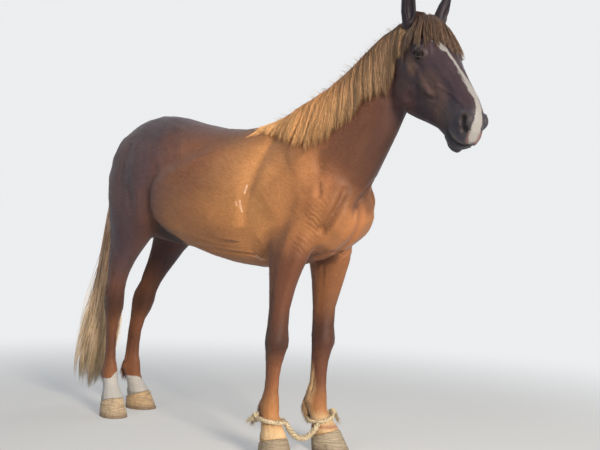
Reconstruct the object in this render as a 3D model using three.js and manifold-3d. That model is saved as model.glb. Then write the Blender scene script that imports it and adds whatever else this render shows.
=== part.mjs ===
// A life-size standing horse: a light riding horse with a long mane, a full tail and a rope hobble on its
// forelegs. Millimetres, +Z up, the horse faces +X and its left side is +Y.
//
// The flesh is made of lofted bodies: rings that follow the side view's upper and lower lines, each with its
// own half width. They are joined, then parted by thin cuts into head, neck, trunk and legs.
import * as THREE from "three";
import { mergeVertices } from "three/addons/utils/BufferGeometryUtils.js";
import Module from "manifold-3d";

const wasm = await Module();
wasm.setup();

// ---- Driving dimensions -------------------------------------------------------------------------------
const GAP = 0.4; // clearance between pieces that touch
const EYE_RADIUS = 22;
const CORONET_HEIGHT = 96; // top of the hoof at the toe
const HEEL_HEIGHT = 58;
const MANE_THICKNESS = 24;
const LINK_RADIUS = 12; // the rope between the forelegs
const LOOP_RADIUS = 9; // its turns round the pasterns
const TOE_OUT = 18; // degrees each leg is turned outwards
const FAR = 6000; // beyond the whole horse
const RIGHT = -1;
const LEFT = 1;

const COLOURS = {
  coat: 0x9a5a35,
  mane: 0xc9a06a,
  horn: 0xb5a487,
  eye: 0x1a1210,
  rope: 0xc2ad7f,
};

// ---- Shapes -------------------------------------------------------------------------------------------

const middleOf = (ring) => ring.reduce((sum, p) => sum.add(p), new THREE.Vector3()).divideScalar(ring.length);

// A closed mesh from rings of points, with a fan over each end.
function skinOver(rings) {
  const sides = rings[0].length;
  const points = rings.flat();
  const faces = [];
  for (let i = 0; i + 1 < rings.length; i++)
    for (let k = 0; k < sides; k++) {
      const a = i * sides + k;
      const b = i * sides + ((k + 1) % sides);
      faces.push([a, b, b + sides], [a, b + sides, a + sides]);
    }
  for (const [ring, start] of [[rings[0], 0], [rings.at(-1), (rings.length - 1) * sides]]) {
    points.push(middleOf(ring));
    for (let k = 0; k < sides; k++) {
      const edge = [start + k, start + ((k + 1) % sides)];
      faces.push(start ? [points.length - 1, ...edge] : [points.length - 1, edge[1], edge[0]]);
    }
  }
  return solid(points, faces);
}

// A manifold solid from points and triangles, turned to face out.
function solid(points, faces) {
  const inside = faces.reduce(
    (sum, [a, b, c]) => sum + points[a].dot(points[b].clone().cross(points[c])),
    0,
  );
  const triVerts = new Uint32Array(faces.flatMap(([a, b, c]) => (inside < 0 ? [a, c, b] : [a, b, c])));
  const vertProperties = new Float32Array(points.flatMap((p) => p.toArray()));
  return new wasm.Manifold(new wasm.Mesh({ numProp: 3, vertProperties, triVerts }));
}

// A solid from one of three.js's own closed geometries.
function solidOf(geometry) {
  const bare = geometry.clone();
  bare.deleteAttribute("normal");
  bare.deleteAttribute("uv");
  const merged = mergeVertices(bare, 1e-3);
  const place = merged.getAttribute("position");
  const points = [];
  for (let i = 0; i < place.count; i++) points.push(new THREE.Vector3().fromBufferAttribute(place, i));
  const index = Array.from(merged.index.array);
  const faces = [];
  for (let i = 0; i < index.length; i += 3) faces.push(index.slice(i, i + 3));
  return solid(points, faces.filter(([a, b, c]) => a !== b && b !== c && c !== a));
}

// How far out a ring's side goes at an angle, for a rounding power: 2 is an ellipse, more is squarer.
const rounded = (value, power) => Math.sign(value) * Math.abs(value) ** (2 / power);

// A loft. Each row holds: upper line x and z, lower line x and z, half width, where along the depth it is
// widest (0 at the lower line, 1 at the upper), the rounding powers above and below that, and the middle's y.
// Growing it moves its skin and its ends out.
function loft(rows, { sides, grow = 0, at = (x, y, z) => [x, y, z] }) {
  const rings = rows.map(([upX, upZ, lowX, lowZ, half, widest, powerUp, powerLow, middleY]) => {
    const low = new THREE.Vector3(lowX, 0, lowZ);
    const rise = new THREE.Vector3(upX, 0, upZ).sub(low);
    const depth = rise.length();
    rise.normalize();
    return Array.from({ length: sides }, (_, k) => {
      const angle = (2 * Math.PI * (k + 0.5)) / sides;
      const above = Math.sin(angle) > 0;
      const power = above ? powerUp : powerLow;
      const reach = (above ? depth * (1 - widest) : depth * widest) + grow;
      const y = middleY + rounded(Math.cos(angle), power) * (half + grow);
      const p = low.clone().addScaledVector(rise, depth * widest + rounded(Math.sin(angle), power) * reach);
      return new THREE.Vector3(...at(p.x, y, p.z));
    });
  });
  for (const [end, next] of [[rings[0], rings[1]], [rings.at(-1), rings.at(-2)]]) {
    const away = middleOf(end).sub(middleOf(next)).setLength(grow);
    end.forEach((p) => p.add(away));
  }
  return skinOver(rings);
}

// An ellipsoid: centre, half sizes, and its turn about Y in degrees, which tips its X axis down.
function ellipsoid(centre, half, tip = 0, detail = 14) {
  const ball = new THREE.SphereGeometry(1, detail, Math.round(detail * 0.7));
  ball.rotateX(Math.PI / 2).scale(...half).rotateY((tip * Math.PI) / 180).translate(...centre);
  return solidOf(ball);
}

// The half space ahead of the line through two points of the side view, from the upper one to the lower one.
function ahead([upX, upZ], [lowX, lowZ], shift = 0) {
  const box = new THREE.BoxGeometry(FAR, FAR, FAR).translate(FAR / 2 + shift, 0, 0);
  box.rotateY(Math.atan2(lowX - upX, upZ - lowZ) * -1).translate((upX + lowX) / 2, 0, (upZ + lowZ) / 2);
  return solidOf(box);
}

const below = (z) => solidOf(new THREE.BoxGeometry(FAR, FAR, FAR).translate(0, 0, z - FAR / 2));

const union = (solids) => solids.reduce((sum, s) => sum.add(s));
const bothSides = (make) => [RIGHT, LEFT].map(make);

// ---- Trunk and neck -----------------------------------------------------------------------------------

const trunkRows = [
  // upper x, z; lower x, z; half width; widest at; powers; middle y
  [-668, 1390, -664, 1190, 45, 0.5, 2, 2, 0],
  [-648, 1425, -648, 1085, 118, 0.5, 2, 2, 0],
  [-585, 1478, -585, 985, 196, 0.52, 2, 2, 0],
  [-480, 1518, -480, 922, 238, 0.52, 2, 2, 0],
  [-370, 1531, -370, 895, 256, 0.52, 2, 2, 0],
  [-250, 1510, -250, 880, 254, 0.5, 2, 2.1, 0],
  [-110, 1471, -110, 866, 258, 0.5, 2, 2.2, 0],
  [50, 1438, 50, 826, 268, 0.5, 2, 2.2, 0],
  [190, 1427, 190, 801, 268, 0.5, 1.9, 2.2, 0],
  [310, 1438, 310, 793, 248, 0.5, 1.7, 2.2, 0],
  [420, 1470, 420, 796, 222, 0.46, 1.5, 2.1, 0],
  [520, 1490, 520, 810, 202, 0.44, 1.5, 2.1, 0],
  [620, 1450, 620, 836, 190, 0.44, 1.8, 2.1, 0],
  [720, 1345, 720, 872, 176, 0.45, 2, 2.1, 0],
  [795, 1235, 795, 925, 146, 0.45, 2, 2.1, 0],
  [838, 1135, 838, 990, 92, 0.5, 2, 2, 0],
];

const neckRows = [
  [390, 1440, 690, 980, 172, 0.45, 1.8, 2.1, 0],
  [465, 1492, 815, 1095, 160, 0.45, 1.6, 2.1, 0],
  [560, 1536, 888, 1187, 134, 0.45, 1.5, 2.1, 0],
  [660, 1586, 938, 1270, 108, 0.45, 1.5, 2.1, 0],
  [760, 1646, 985, 1345, 90, 0.45, 1.6, 2.1, -2],
  [858, 1712, 1030, 1425, 80, 0.47, 1.7, 2.1, -7],
  [955, 1768, 1075, 1500, 76, 0.5, 1.9, 2.1, -13],
  [1040, 1790, 1120, 1560, 68, 0.5, 2, 2.1, -19],
];

const trunk = (grow = 0) => loft(trunkRows, { sides: 22, grow });
const neck = (grow = 0, rows = neckRows) => loft(rows, { sides: 18, grow });

// Muscle masses that stand out of the trunk.
const masses = (grow = 0) =>
  bothSides((side) => [
    ellipsoid([592, side * 106, 1195], [104, 86, 262].map((size) => size + grow), 40, 8), // shoulder
    ellipsoid([738, side * 92, 1062], [92, 82, 118].map((size) => size + grow), 24, 8), // breast
    ellipsoid([-470, side * 120, 1210], [188, 126, 242].map((size) => size + grow), -10, 8), // haunch
  ]).flat();

// ---- Head ---------------------------------------------------------------------------------------------
// Its own frame: s runs from the poll to the lips, n towards the forehead, and y to the left.

const POLL = [1105, -22, 1781];
const HEAD_PITCH = 49; // degrees below level
const HEAD_TURN = 18; // degrees to the right
const headToWorld = new THREE.Matrix4()
  .makeTranslation(...POLL)
  .multiply(new THREE.Matrix4().makeRotationZ(-THREE.MathUtils.degToRad(HEAD_TURN)))
  .multiply(new THREE.Matrix4().makeRotationY(THREE.MathUtils.degToRad(HEAD_PITCH)));
const inHead = (x, y, z) => new THREE.Vector3(x, y, z).applyMatrix4(headToWorld).toArray();

const headRows = [
  [-52, -36, -72, -124, 50, 0.5, 2, 2, 0],
  [-5, 4, -36, -186, 74, 0.6, 2.2, 2.1, 0],
  [60, 36, 34, -236, 88, 0.66, 2.4, 2.2, 0],
  [125, 54, 108, -262, 95, 0.72, 2.5, 2.2, 0],
  [188, 60, 182, -270, 96, 0.74, 2.6, 2.2, 0],
  [245, 57, 245, -257, 83, 0.68, 2.3, 2.2, 0],
  [302, 53, 302, -230, 69, 0.62, 2.2, 2.2, 0],
  [360, 49, 360, -199, 57, 0.56, 2.2, 2.1, 0],
  [417, 45, 415, -173, 49, 0.55, 2.2, 2.1, 0],
  [469, 40, 460, -163, 48, 0.55, 2.2, 2.2, 0],
  [516, 28, 500, -165, 50, 0.52, 2.2, 2.3, 0],
  [557, 2, 536, -160, 48, 0.5, 2.2, 2.3, 0],
  [584, -33, 562, -141, 40, 0.5, 2.1, 2.1, 0],
  [595, -67, 583, -108, 24, 0.5, 2, 2, 0],
];

const EYE = { s: 191, n: -6, y: 81 };
const NOSTRIL = { s: 528, n: -27, y: 45 };

function headPiece(centre, half, tip = 0, detail = 8) {
  return ellipsoid(centre, half, tip, detail).transform(headToWorld.toArray());
}

function head(grow = 0) {
  const mass = (centre, half, tip, detail) => headPiece(centre, half.map((size) => size + grow), tip, detail);
  const skull = loft(headRows, { sides: 16, grow, at: inHead });
  const details = bothSides((side) => [
    mass([188, side * 58, -142], [106, 28, 104]), // cheek
    mass([EYE.s - 2, side * 71, EYE.n + 6], [46, 28, 33]), // brow and lids
    mass([262, side * 57, -92], [96, 24, 17], -8), // facial crest
    mass([NOSTRIL.s - 2, side * 36, NOSTRIL.n], [42, 24, 35], -24), // nostril
  ]).flat();
  const chin = mass([524, 0, -150], [42, 30, 20]);
  const whole = union([skull, chin, ...details]);
  if (grow) return whole;
  const cuts = bothSides((side) => [
    headPiece([EYE.s, side * EYE.y, EYE.n], Array(3).fill(EYE_RADIUS + GAP), 0, 10),
    headPiece([EYE.s, side * (EYE.y + 20), EYE.n], [21, 12, 14]), // the opening between the lids
    headPiece([NOSTRIL.s + 6, side * (NOSTRIL.y + 14), NOSTRIL.n], [17, 17, 22], -24),
  ]).flat();
  return whole.subtract(union(cuts));
}

const eye = (side, grow = 0) =>
  headPiece([EYE.s, side * EYE.y, EYE.n], Array(3).fill(EYE_RADIUS + grow), 0, 10);

// An ear: a pointed cup that opens forwards and outwards. Its rows climb from its base.
const EAR = { s: 22, y: 68, base: 8, forward: 12, outward: 13, turned: 24 }; // the last three in degrees
const earRows = [
  [20, -34, -24, -34, 20, 0.5, 2, 2, 0],
  [27, 0, -25, 0, 26, 0.5, 2, 2, 0],
  [29, 42, -25, 46, 30, 0.45, 2, 2, 0],
  [25, 86, -20, 92, 28, 0.45, 2, 2, 0],
  [18, 126, -12, 130, 19, 0.45, 2, 2, 0],
  [11, 154, -3, 156, 9, 0.5, 2, 2, 0],
  [6, 168, 2, 169, 2, 0.5, 2, 2, 0],
];

function ear(side, grow = 0) {
  const radians = THREE.MathUtils.degToRad;
  const turn = headToWorld
    .clone()
    .multiply(new THREE.Matrix4().makeTranslation(EAR.s, side * EAR.y, EAR.base))
    .multiply(new THREE.Matrix4().makeRotationY(radians(EAR.forward - HEAD_PITCH)))
    .multiply(new THREE.Matrix4().makeRotationX(radians(-side * EAR.outward)))
    .multiply(new THREE.Matrix4().makeRotationZ(radians(side * EAR.turned)));
  const at = (x, y, z) => new THREE.Vector3(x, y, z).applyMatrix4(turn).toArray();
  const shell = loft(earRows, { sides: 10, grow, at });
  if (grow) return shell;
  return shell.subtract(ellipsoid([29, 0, 76], [20, 19, 68], 6, 10).transform(turn.toArray()));
}

// ---- Legs ---------------------------------------------------------------------------------------------
// Rows run down the leg: height, middle x, depth, width, middle y, rounding power.

const foreRows = [
  [1010, 590, 250, 130, 118, 2],
  [930, 583, 250, 132, 124, 2],
  [855, 568, 216, 126, 130, 2],
  [790, 560, 178, 116, 133, 2],
  [710, 551, 142, 102, 134, 2.1],
  [630, 543, 114, 90, 134, 2.1],
  [550, 541, 103, 88, 134, 2.2],
  [505, 543, 104, 95, 134, 2.5],
  [468, 544, 103, 98, 134, 2.5],
  [430, 537, 92, 88, 134, 2.3],
  [390, 531, 80, 64, 134, 2.1],
  [335, 527, 77, 51, 134, 2.1],
  [280, 525, 80, 53, 134, 2.1],
  [238, 521, 94, 68, 134, 2.2],
  [208, 519, 99, 77, 134, 2.2],
  [180, 525, 92, 74, 134, 2.1],
  [150, 540, 94, 80, 134, 2.1],
  [122, 555, 106, 94, 134, 2.1],
  [94, 570, 120, 108, 134, 2.1],
  [66, 578, 126, 112, 134, 2.1],
];

const hindRows = [
  [1330, -470, 330, 150, 112, 2],
  [1220, -478, 384, 215, 132, 2],
  [1110, -470, 356, 220, 142, 2.1],
  [1010, -466, 330, 205, 144, 2.1],
  [935, -480, 285, 172, 140, 2.1],
  [865, -518, 222, 142, 133, 2.1],
  [800, -552, 176, 118, 126, 2.1],
  [735, -583, 142, 100, 119, 2],
  [675, -610, 122, 90, 112, 2],
  [625, -634, 128, 90, 107, 2.1],
  [580, -643, 124, 95, 105, 2.3],
  [530, -650, 108, 86, 103, 2.3],
  [475, -663, 86, 64, 101, 2.1],
  [410, -673, 77, 52, 100, 2.1],
  [340, -676, 76, 49, 100, 2.1],
  [282, -676, 80, 54, 100, 2.1],
  [240, -672, 94, 68, 100, 2.2],
  [208, -670, 99, 78, 100, 2.2],
  [180, -662, 92, 76, 100, 2.1],
  [150, -646, 88, 76, 100, 2.1],
  [122, -630, 100, 90, 100, 2.1],
  [94, -614, 116, 106, 100, 2.1],
  [66, -606, 120, 110, 100, 2.1],
];

// Each leg: its rows, the height its top is cut at, the height below which it leaves its plain stance, where
// its foot goes from there, and the vertical line its lower part turns about.
const LEGS = {
  foreleg_right: { rows: foreRows, side: RIGHT, cut: 872, bend: 900, foot: [-28, -14], axis: 525 },
  foreleg_left: { rows: foreRows, side: LEFT, cut: 872, bend: 900, foot: [12, -10], axis: 525 },
  hindleg_right: { rows: hindRows, side: RIGHT, cut: 985, bend: 900, foot: [0, 0], axis: -673 },
  hindleg_left: { rows: hindRows, side: LEFT, cut: 985, bend: 960, foot: [-96, 0], axis: -673 },
};

// Puts a point of a plainly standing leg where the leg stands.
function stance({ rows, side, bend, foot, axis }) {
  const y0 = rows.at(-1)[4] * side;
  return (x, y, z) => {
    const share = THREE.MathUtils.clamp((bend - z) / bend, 0, 1) ** 0.8;
    const turn = THREE.MathUtils.degToRad(TOE_OUT * side) * Math.min(share * 1.9, 1);
    const [dx, dy] = [x - axis, y - y0];
    return [
      axis + dx * Math.cos(turn) - dy * Math.sin(turn) + foot[0] * share,
      y0 + dx * Math.sin(turn) + dy * Math.cos(turn) + foot[1] * share,
      z,
    ];
  };
}

function leg(spec, grow = 0) {
  const rows = spec.rows.map(([z, x, depth, width, y, power]) => [
    x + depth / 2, z, x - depth / 2, z, width / 2, 0.5, power, power, y * spec.side,
  ]);
  return loft(rows, { sides: 12, grow, at: stance(spec) });
}

function hoof(spec, grow = 0) {
  const [, x, depth, width, middle, power] = spec.rows.at(-2);
  const y = middle * spec.side;
  const front = x + depth / 2 + 2;
  const heel = x - depth / 2 - 2;
  const half = width / 2;
  const rows = [
    [front, CORONET_HEIGHT, heel, HEEL_HEIGHT, half + 2, 0.5, power, power, y],
    [front + 4, CORONET_HEIGHT - 7, heel - 1, HEEL_HEIGHT - 6, half + 5, 0.5, 2.1, 2.3, y],
    [front + 52, 0, heel + 4, 0, half + 14, 0.54, 2.1, 2.5, y],
  ];
  return loft(rows, { sides: 16, grow, at: stance(spec) });
}

// ---- Mane, forelock and tail --------------------------------------------------------------------------

// Pointed locks of uneven length along the free edge of a sheet of hair, seen from its side.
function lockEdge(edge, count, longest) {
  const smooth = new THREE.SplineCurve(edge.map(([x, z]) => new THREE.Vector2(x, z)));
  return smooth.getPoints(count * 2).map(({ x, y: z }, i) => {
    const length = longest * (0.7 + 0.3 * Math.sin(i * 2.4));
    return i % 2 ? [x + 6, z - length] : [x, z];
  });
}

function prism(outline, depth, place) {
  const shape = new THREE.Shape(outline.map(([x, y]) => new THREE.Vector2(x, y)));
  const geometry = new THREE.ExtrudeGeometry(shape, { depth, bevelEnabled: false });
  return solidOf(place(geometry));
}

// The mane hangs to the right of the crest, and stands a little above it.
const maneEdge = [
  [300, 1405], [400, 1360], [520, 1345], [640, 1350], [760, 1395], [880, 1445], [965, 1500], [1010, 1580],
];
const maneTop = [[1075, 1760], [1060, 1860], [900, 1860], [600, 1660], [400, 1560], [300, 1480]];

function mane() {
  const outline = [...lockEdge(maneEdge, 13, 46), ...maneTop];
  const hanging = prism(outline, 400, (g) => g.rotateX(Math.PI / 2).translate(0, 14, 0));
  const lowered = neckRows.map(([x, z, ...rest], i) => (i ? [x - 4, z - 6, ...rest] : [290, 1418, ...rest]));
  return neck(MANE_THICKNESS, lowered).intersect(hanging);
}

// The forelock: a sheet over the forehead, in the head's frame.
function forelock() {
  const outline = [
    [-30, -36], [45, -70], [120, -110], [224, -118], [150, -74], [226, -46],
    [128, -4], [222, 44], [160, 62], [232, 98], [110, 94], [40, 60], [-30, 36],
  ];
  const sheet = prism(outline, 200, (g) => g.translate(0, 0, -40)).transform(headToWorld.toArray());
  const cover = loft(headRows, { sides: 14, grow: 16, at: inHead });
  const tuft = headPiece([6, 0, 30], [54, 52, 30], -20);
  return cover.intersect(sheet).add(tuft);
}

// Rows run down the tail: height, middle x, depth, width, middle y.
const tailRows = [
  [1425, -640, 52, 52, 0],
  [1395, -690, 60, 62, 0],
  [1330, -735, 72, 76, 0],
  [1200, -768, 92, 100, 0],
  [1000, -795, 112, 134, 0],
  [800, -822, 132, 168, 0],
  [600, -845, 150, 204, -4],
  [434, -866, 162, 228, -8],
  [289, -894, 158, 226, -10],
  [150, -928, 118, 176, -10],
  [62, -952, 60, 84, -10],
];
function tail(grow = 0) {
  const rows = tailRows.map(([z, x, depth, width, y], i) => {
    const tip = i < 2 ? 24 : 0;
    return [x + depth / 2, z - tip, x - depth / 2, z + tip, width / 2, 0.5, 2, 2, y];
  });
  return loft(rows, { sides: 12, grow });
}

// ---- Hobble -------------------------------------------------------------------------------------------

// The link hangs from the right foreleg's loop to the left one's.
const LINK_ROUTE = [
  [552, -93, 138], [554, -83, 124], [556, -73, 111], [558, -62, 98], [561, -50, 87], [563, -38, 79],
  [565, -27, 73], [568, -15, 70], [570, -3, 68], [572, 8, 69], [574, 20, 72], [577, 32, 78],
  [579, 43, 86], [581, 53, 94], [583, 63, 104], [585, 73, 116],
];

// A round rope along a path, which may close on itself.
function rope(path, radius, steps, closed = false) {
  const curve = new THREE.CatmullRomCurve3(path, closed);
  if (closed) return solidOf(new THREE.TubeGeometry(curve, steps, radius, 6, true));
  const round = new THREE.EllipseCurve(0, 0, radius, radius, 0, 2 * Math.PI);
  const section = new THREE.Shape(round.getPoints(8).slice(0, 8));
  return solidOf(new THREE.ExtrudeGeometry(section, { steps, extrudePath: curve, bevelEnabled: false }));
}

// A point round a pastern, at a clearance from its skin. Each loop rises towards its knot.
const LOOPS = {
  foreleg_right: { height: 158, rise: 7, knot: -2.3, link: 1.3 },
  foreleg_left: { height: 140, rise: 16, knot: 1.1, link: -1.25 },
};
function loopPoint(leg, angle, out = LOOP_RADIUS + GAP + 4) {
  const spec = LEGS[leg];
  const [, x, depth, width, y, power] = spec.rows.find(([z]) => z === 150);
  const dx = rounded(Math.cos(angle), power) * (depth / 2 + out);
  const dy = rounded(Math.sin(angle), power) * (width / 2 + out);
  const rise = LOOPS[leg].rise * Math.cos(angle - LOOPS[leg].knot);
  return new THREE.Vector3(...stance(spec)(x + dx, y * spec.side + dy, LOOPS[leg].height + rise));
}

function hobbleLoop(leg) {
  const { knot, link } = LOOPS[leg];
  const points = Array.from({ length: 12 }, (_, i) => loopPoint(leg, (2 * Math.PI * i) / 12));
  const tied = loopPoint(leg, knot, LOOP_RADIUS + 14).toArray();
  const hitch = loopPoint(leg, link, LOOP_RADIUS + 8).toArray();
  return union([
    rope(points, LOOP_RADIUS, 16, true),
    ellipsoid(tied, [24, 20, 18], 15, 6),
    ellipsoid(hitch, [17, 17, 17], 0, 6),
  ]);
}

const hobbleLink = () => rope(LINK_ROUTE.map((p) => new THREE.Vector3(...p)), LINK_RADIUS, 14);

// ---- Parting ------------------------------------------------------------------------------------------

const legNames = Object.keys(LEGS);
const flesh = union([trunk(), neck(), head(), ...masses(), ...legNames.map((name) => leg(LEGS[name]))]);

const pieces = {};
for (const name of legNames) {
  const spec = LEGS[name];
  pieces[name.replace("leg", "hoof")] = hoof(spec);
  pieces[name] = leg(spec).intersect(below(spec.cut)).subtract(hoof(spec, GAP));
}
const legSockets = legNames.map((name) => leg(LEGS[name], GAP).intersect(below(LEGS[name].cut + GAP)));
const upper = flesh.subtract(union(legSockets));

const headLine = [[988, 1840], [992, 1340]];
const neckLine = [[455, 1520], [890, 1150]];
const nape = ahead(...headLine);
const withers = ahead(...neckLine);

pieces.head = upper.intersect(nape).subtract(union(bothSides((side) => ear(side, GAP))));
pieces.neck = upper.intersect(withers).subtract(ahead(...headLine, -GAP));
pieces.trunk = upper.subtract(ahead(...neckLine, -GAP)).subtract(tail(GAP));
pieces.tail = tail();
for (const [name, side] of [["right", RIGHT], ["left", LEFT]]) {
  pieces["eye_" + name] = eye(side);
  pieces["ear_" + name] = ear(side);
}
const underHair = union([
  trunk(GAP),
  neck(GAP),
  head(GAP),
  ...masses(GAP),
  ...bothSides((side) => ear(side, 3)),
  ...bothSides((side) => eye(side, GAP)),
]);
pieces.mane = mane().subtract(underHair);
pieces.forelock = forelock().subtract(underHair.add(mane()));
for (const side of ["right", "left"])
  pieces["hobble_loop_" + side] = hobbleLoop("foreleg_" + side).subtract(leg(LEGS["foreleg_" + side], GAP));
pieces.hobble_link = hobbleLink();

// ---- Nodes --------------------------------------------------------------------------------------------

const lookOf = (name) => {
  if (/hoof/.test(name)) return COLOURS.horn;
  if (/hobble/.test(name)) return COLOURS.rope;
  if (/eye/.test(name)) return COLOURS.eye;
  return /mane|forelock|tail/.test(name) ? COLOURS.mane : COLOURS.coat;
};

const horse = new THREE.Group();
for (const [name, piece] of Object.entries(pieces)) {
  const [body] = piece.decompose().sort((a, b) => b.volume() - a.volume());
  const { vertProperties, triVerts, numProp } = body.getMesh();
  const place = new Float32Array((vertProperties.length / numProp) * 3);
  for (let i = 0; i < place.length / 3; i++)
    place.set(vertProperties.subarray(i * numProp, i * numProp + 3), i * 3);
  const geometry = new THREE.BufferGeometry();
  geometry.setAttribute("position", new THREE.BufferAttribute(place, 3));
  geometry.setIndex(new THREE.BufferAttribute(triVerts, 1));
  geometry.computeVertexNormals();
  const material = new THREE.MeshStandardMaterial({ color: lookOf(name), roughness: 0.7 });
  const mesh = new THREE.Mesh(geometry, material);
  mesh.name = name;
  horse.add(mesh);
}

// The origin is on the ground, under the middle of the horse without the rope between its forelegs.
const measured = horse.clone();
measured.remove(measured.getObjectByName("hobble_link"));
const middle = new THREE.Box3().setFromObject(measured).getCenter(new THREE.Vector3());
horse.position.set(-middle.x, -middle.y, 0);

export default horse;
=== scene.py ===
"""A life-size chestnut horse with a flaxen mane and a rope hobble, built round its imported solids.

One skin stands for the flesh. It is the solids' own shape, run together and smoothed, then modelled with
strokes: muscles, bones, veins, folds, lids, nostrils and lips. Mane, forelock, tail and coat are mesh.
Metres, +Z up, the horse faces +X and its left side is +Y.
"""

from math import cos, pi, radians, sin, tau

import bmesh
import bpy
import numpy as np
from mathutils import Matrix, Vector
from mathutils.bvhtree import BVHTree


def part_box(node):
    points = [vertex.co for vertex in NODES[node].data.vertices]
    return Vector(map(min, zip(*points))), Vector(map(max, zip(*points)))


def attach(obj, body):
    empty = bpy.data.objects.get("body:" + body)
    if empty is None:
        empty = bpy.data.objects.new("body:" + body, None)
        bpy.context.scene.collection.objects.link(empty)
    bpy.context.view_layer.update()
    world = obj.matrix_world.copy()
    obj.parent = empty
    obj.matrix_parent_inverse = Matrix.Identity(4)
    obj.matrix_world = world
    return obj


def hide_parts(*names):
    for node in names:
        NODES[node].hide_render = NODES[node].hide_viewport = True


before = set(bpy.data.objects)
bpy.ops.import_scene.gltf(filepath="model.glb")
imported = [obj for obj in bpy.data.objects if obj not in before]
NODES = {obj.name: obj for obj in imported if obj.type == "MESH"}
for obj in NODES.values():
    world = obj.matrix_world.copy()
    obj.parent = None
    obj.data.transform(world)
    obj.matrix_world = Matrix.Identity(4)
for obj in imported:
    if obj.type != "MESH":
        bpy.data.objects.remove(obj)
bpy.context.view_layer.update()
RANDOM = np.random.default_rng(11)

VOXEL = 0.0032  # how fine the flesh is modelled
SKIN_TRIANGLES = 196_000
WIDEST_BLUR = 0.032
COAT_DEPTH = 0.0016
SIDES = {"right": -1, "left": 1}
LEGS = ("foreleg_right", "foreleg_left", "hindleg_right", "hindleg_left")
FLESH = ("head", "neck", "trunk", "ear_right", "ear_left", *LEGS)
UP = np.array([0.0, 0.0, 1.0])
BACKDROP = (0.84, 0.85, 0.86, 1)
SKY = (0.76, 0.86, 1.0, 1)


# ---- Small tools --------------------------------------------------------------------------------

def unit(v):
    v = np.asarray(v, float)
    return v / np.maximum(np.linalg.norm(v, axis=-1, keepdims=True), 1e-12)


def metres(millimetres):
    return np.asarray(millimetres) / 1000


def along_strand(steps):
    """The share of the way from root to tip, for each step of a strand."""
    return np.linspace(0, 1, steps)[None, :, None]


def smoothstep(low, high, x):
    t = np.clip((x - low) / (high - low), 0, 1)
    return t * t * (3 - 2 * t)


def circle(count):
    """Evenly spaced angles, all the way round."""
    return np.linspace(0, tau, count, endpoint=False)


def box_of(node):
    """A CAD node's lowest and highest corner."""
    return np.array(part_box(node))


def middle_of(node):
    return box_of(node).mean(0)


def over_leg(points, leg, margin=0.01):
    """Which points lie in the column of space over and under a leg's own box."""
    low, high = box_of(leg)[:, :2]
    return np.all((points[:, :2] > low - margin) & (points[:, :2] < high + margin), axis=1)


def curve_through(points, count):
    """count points along the smooth line through a few points."""
    p = np.asarray(points, float)
    padded = np.vstack([2 * p[0] - p[1], p, 2 * p[-1] - p[-2]])
    place = np.linspace(0, len(p) - 1, count)
    i = np.minimum(place.astype(int), len(p) - 2)
    t = (place - i)[:, None]
    a, b, c, d = (padded[i + k] for k in range(4))
    return 0.5 * (2 * b + (c - a) * t + (2 * a - 5 * b + 4 * c - d) * t**2 + (3 * b - a - 3 * c + d) * t**3)


def mesh_from(name, points, faces):
    """A mesh from arrays of points and of faces that all have the same number of corners."""
    mesh = bpy.data.meshes.new(name)
    mesh.vertices.add(len(points))
    mesh.vertices.foreach_set("co", np.asarray(points, np.float32).ravel())
    mesh.loops.add(faces.size)
    mesh.loops.foreach_set("vertex_index", np.asarray(faces, np.int32).ravel())
    mesh.polygons.add(len(faces))
    mesh.polygons.foreach_set("loop_start", np.arange(len(faces), dtype=np.int32) * faces.shape[1])
    mesh.update(calc_edges=True)
    return mesh


def tube_faces(rings, around, closed=False):
    """Quads between rings of points. On a closed tube the last ring meets the first."""
    ring, k = np.meshgrid(np.arange(rings - (not closed)), np.arange(around), indexing="ij")
    after, follower = (ring + 1) % rings, (k + 1) % around
    corners = ring * around + k, ring * around + follower, after * around + follower, after * around + k
    return np.stack(corners, -1).reshape(-1, 4)


def object_from(name, mesh):
    mesh.shade_smooth()
    obj = bpy.data.objects.new(name, mesh)
    bpy.context.scene.collection.objects.link(obj)
    return obj


def points_of(mesh):
    co = np.empty(len(mesh.vertices) * 3, np.float32)
    mesh.vertices.foreach_get("co", co)
    return co.reshape(-1, 3).astype(float)


def normals_of(mesh):
    no = np.empty(len(mesh.vertices) * 3, np.float32)
    mesh.vertex_normals.foreach_get("vector", no)
    return no.reshape(-1, 3).astype(float)


def move_points(mesh, points):
    mesh.vertices.foreach_set("co", np.asarray(points, np.float32).ravel())
    mesh.update()


def triangles_of(mesh):
    mesh.calc_loop_triangles()
    tris = np.empty(len(mesh.loop_triangles) * 3, np.int32)
    mesh.loop_triangles.foreach_get("vertices", tris)
    return tris.reshape(-1, 3)


def modified(obj, kind, group=None, levels=120, **settings):
    """Applies one modifier, with an array of weights, in so many levels, as its vertex group."""
    modifier = obj.modifiers.new(kind, kind)
    for key, value in settings.items():
        setattr(modifier, key, value)
    if group is not None:
        obj.vertex_groups.clear()
        weights = obj.vertex_groups.new(name="weights")
        level_of = np.round(np.clip(group, 0, 1) * levels).astype(int)
        for level in np.unique(level_of):
            weights.add(np.nonzero(level_of == level)[0].tolist(), level / levels, "REPLACE")
        modifier.vertex_group = "weights"
    graph = bpy.context.evaluated_depsgraph_get()
    mesh = bpy.data.meshes.new_from_object(obj.evaluated_get(graph))
    obj.modifiers.clear()
    obj.data = mesh
    return mesh


# ---- The head's own frame: s from the poll to the lips, y to its left, n towards the forehead ----

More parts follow.
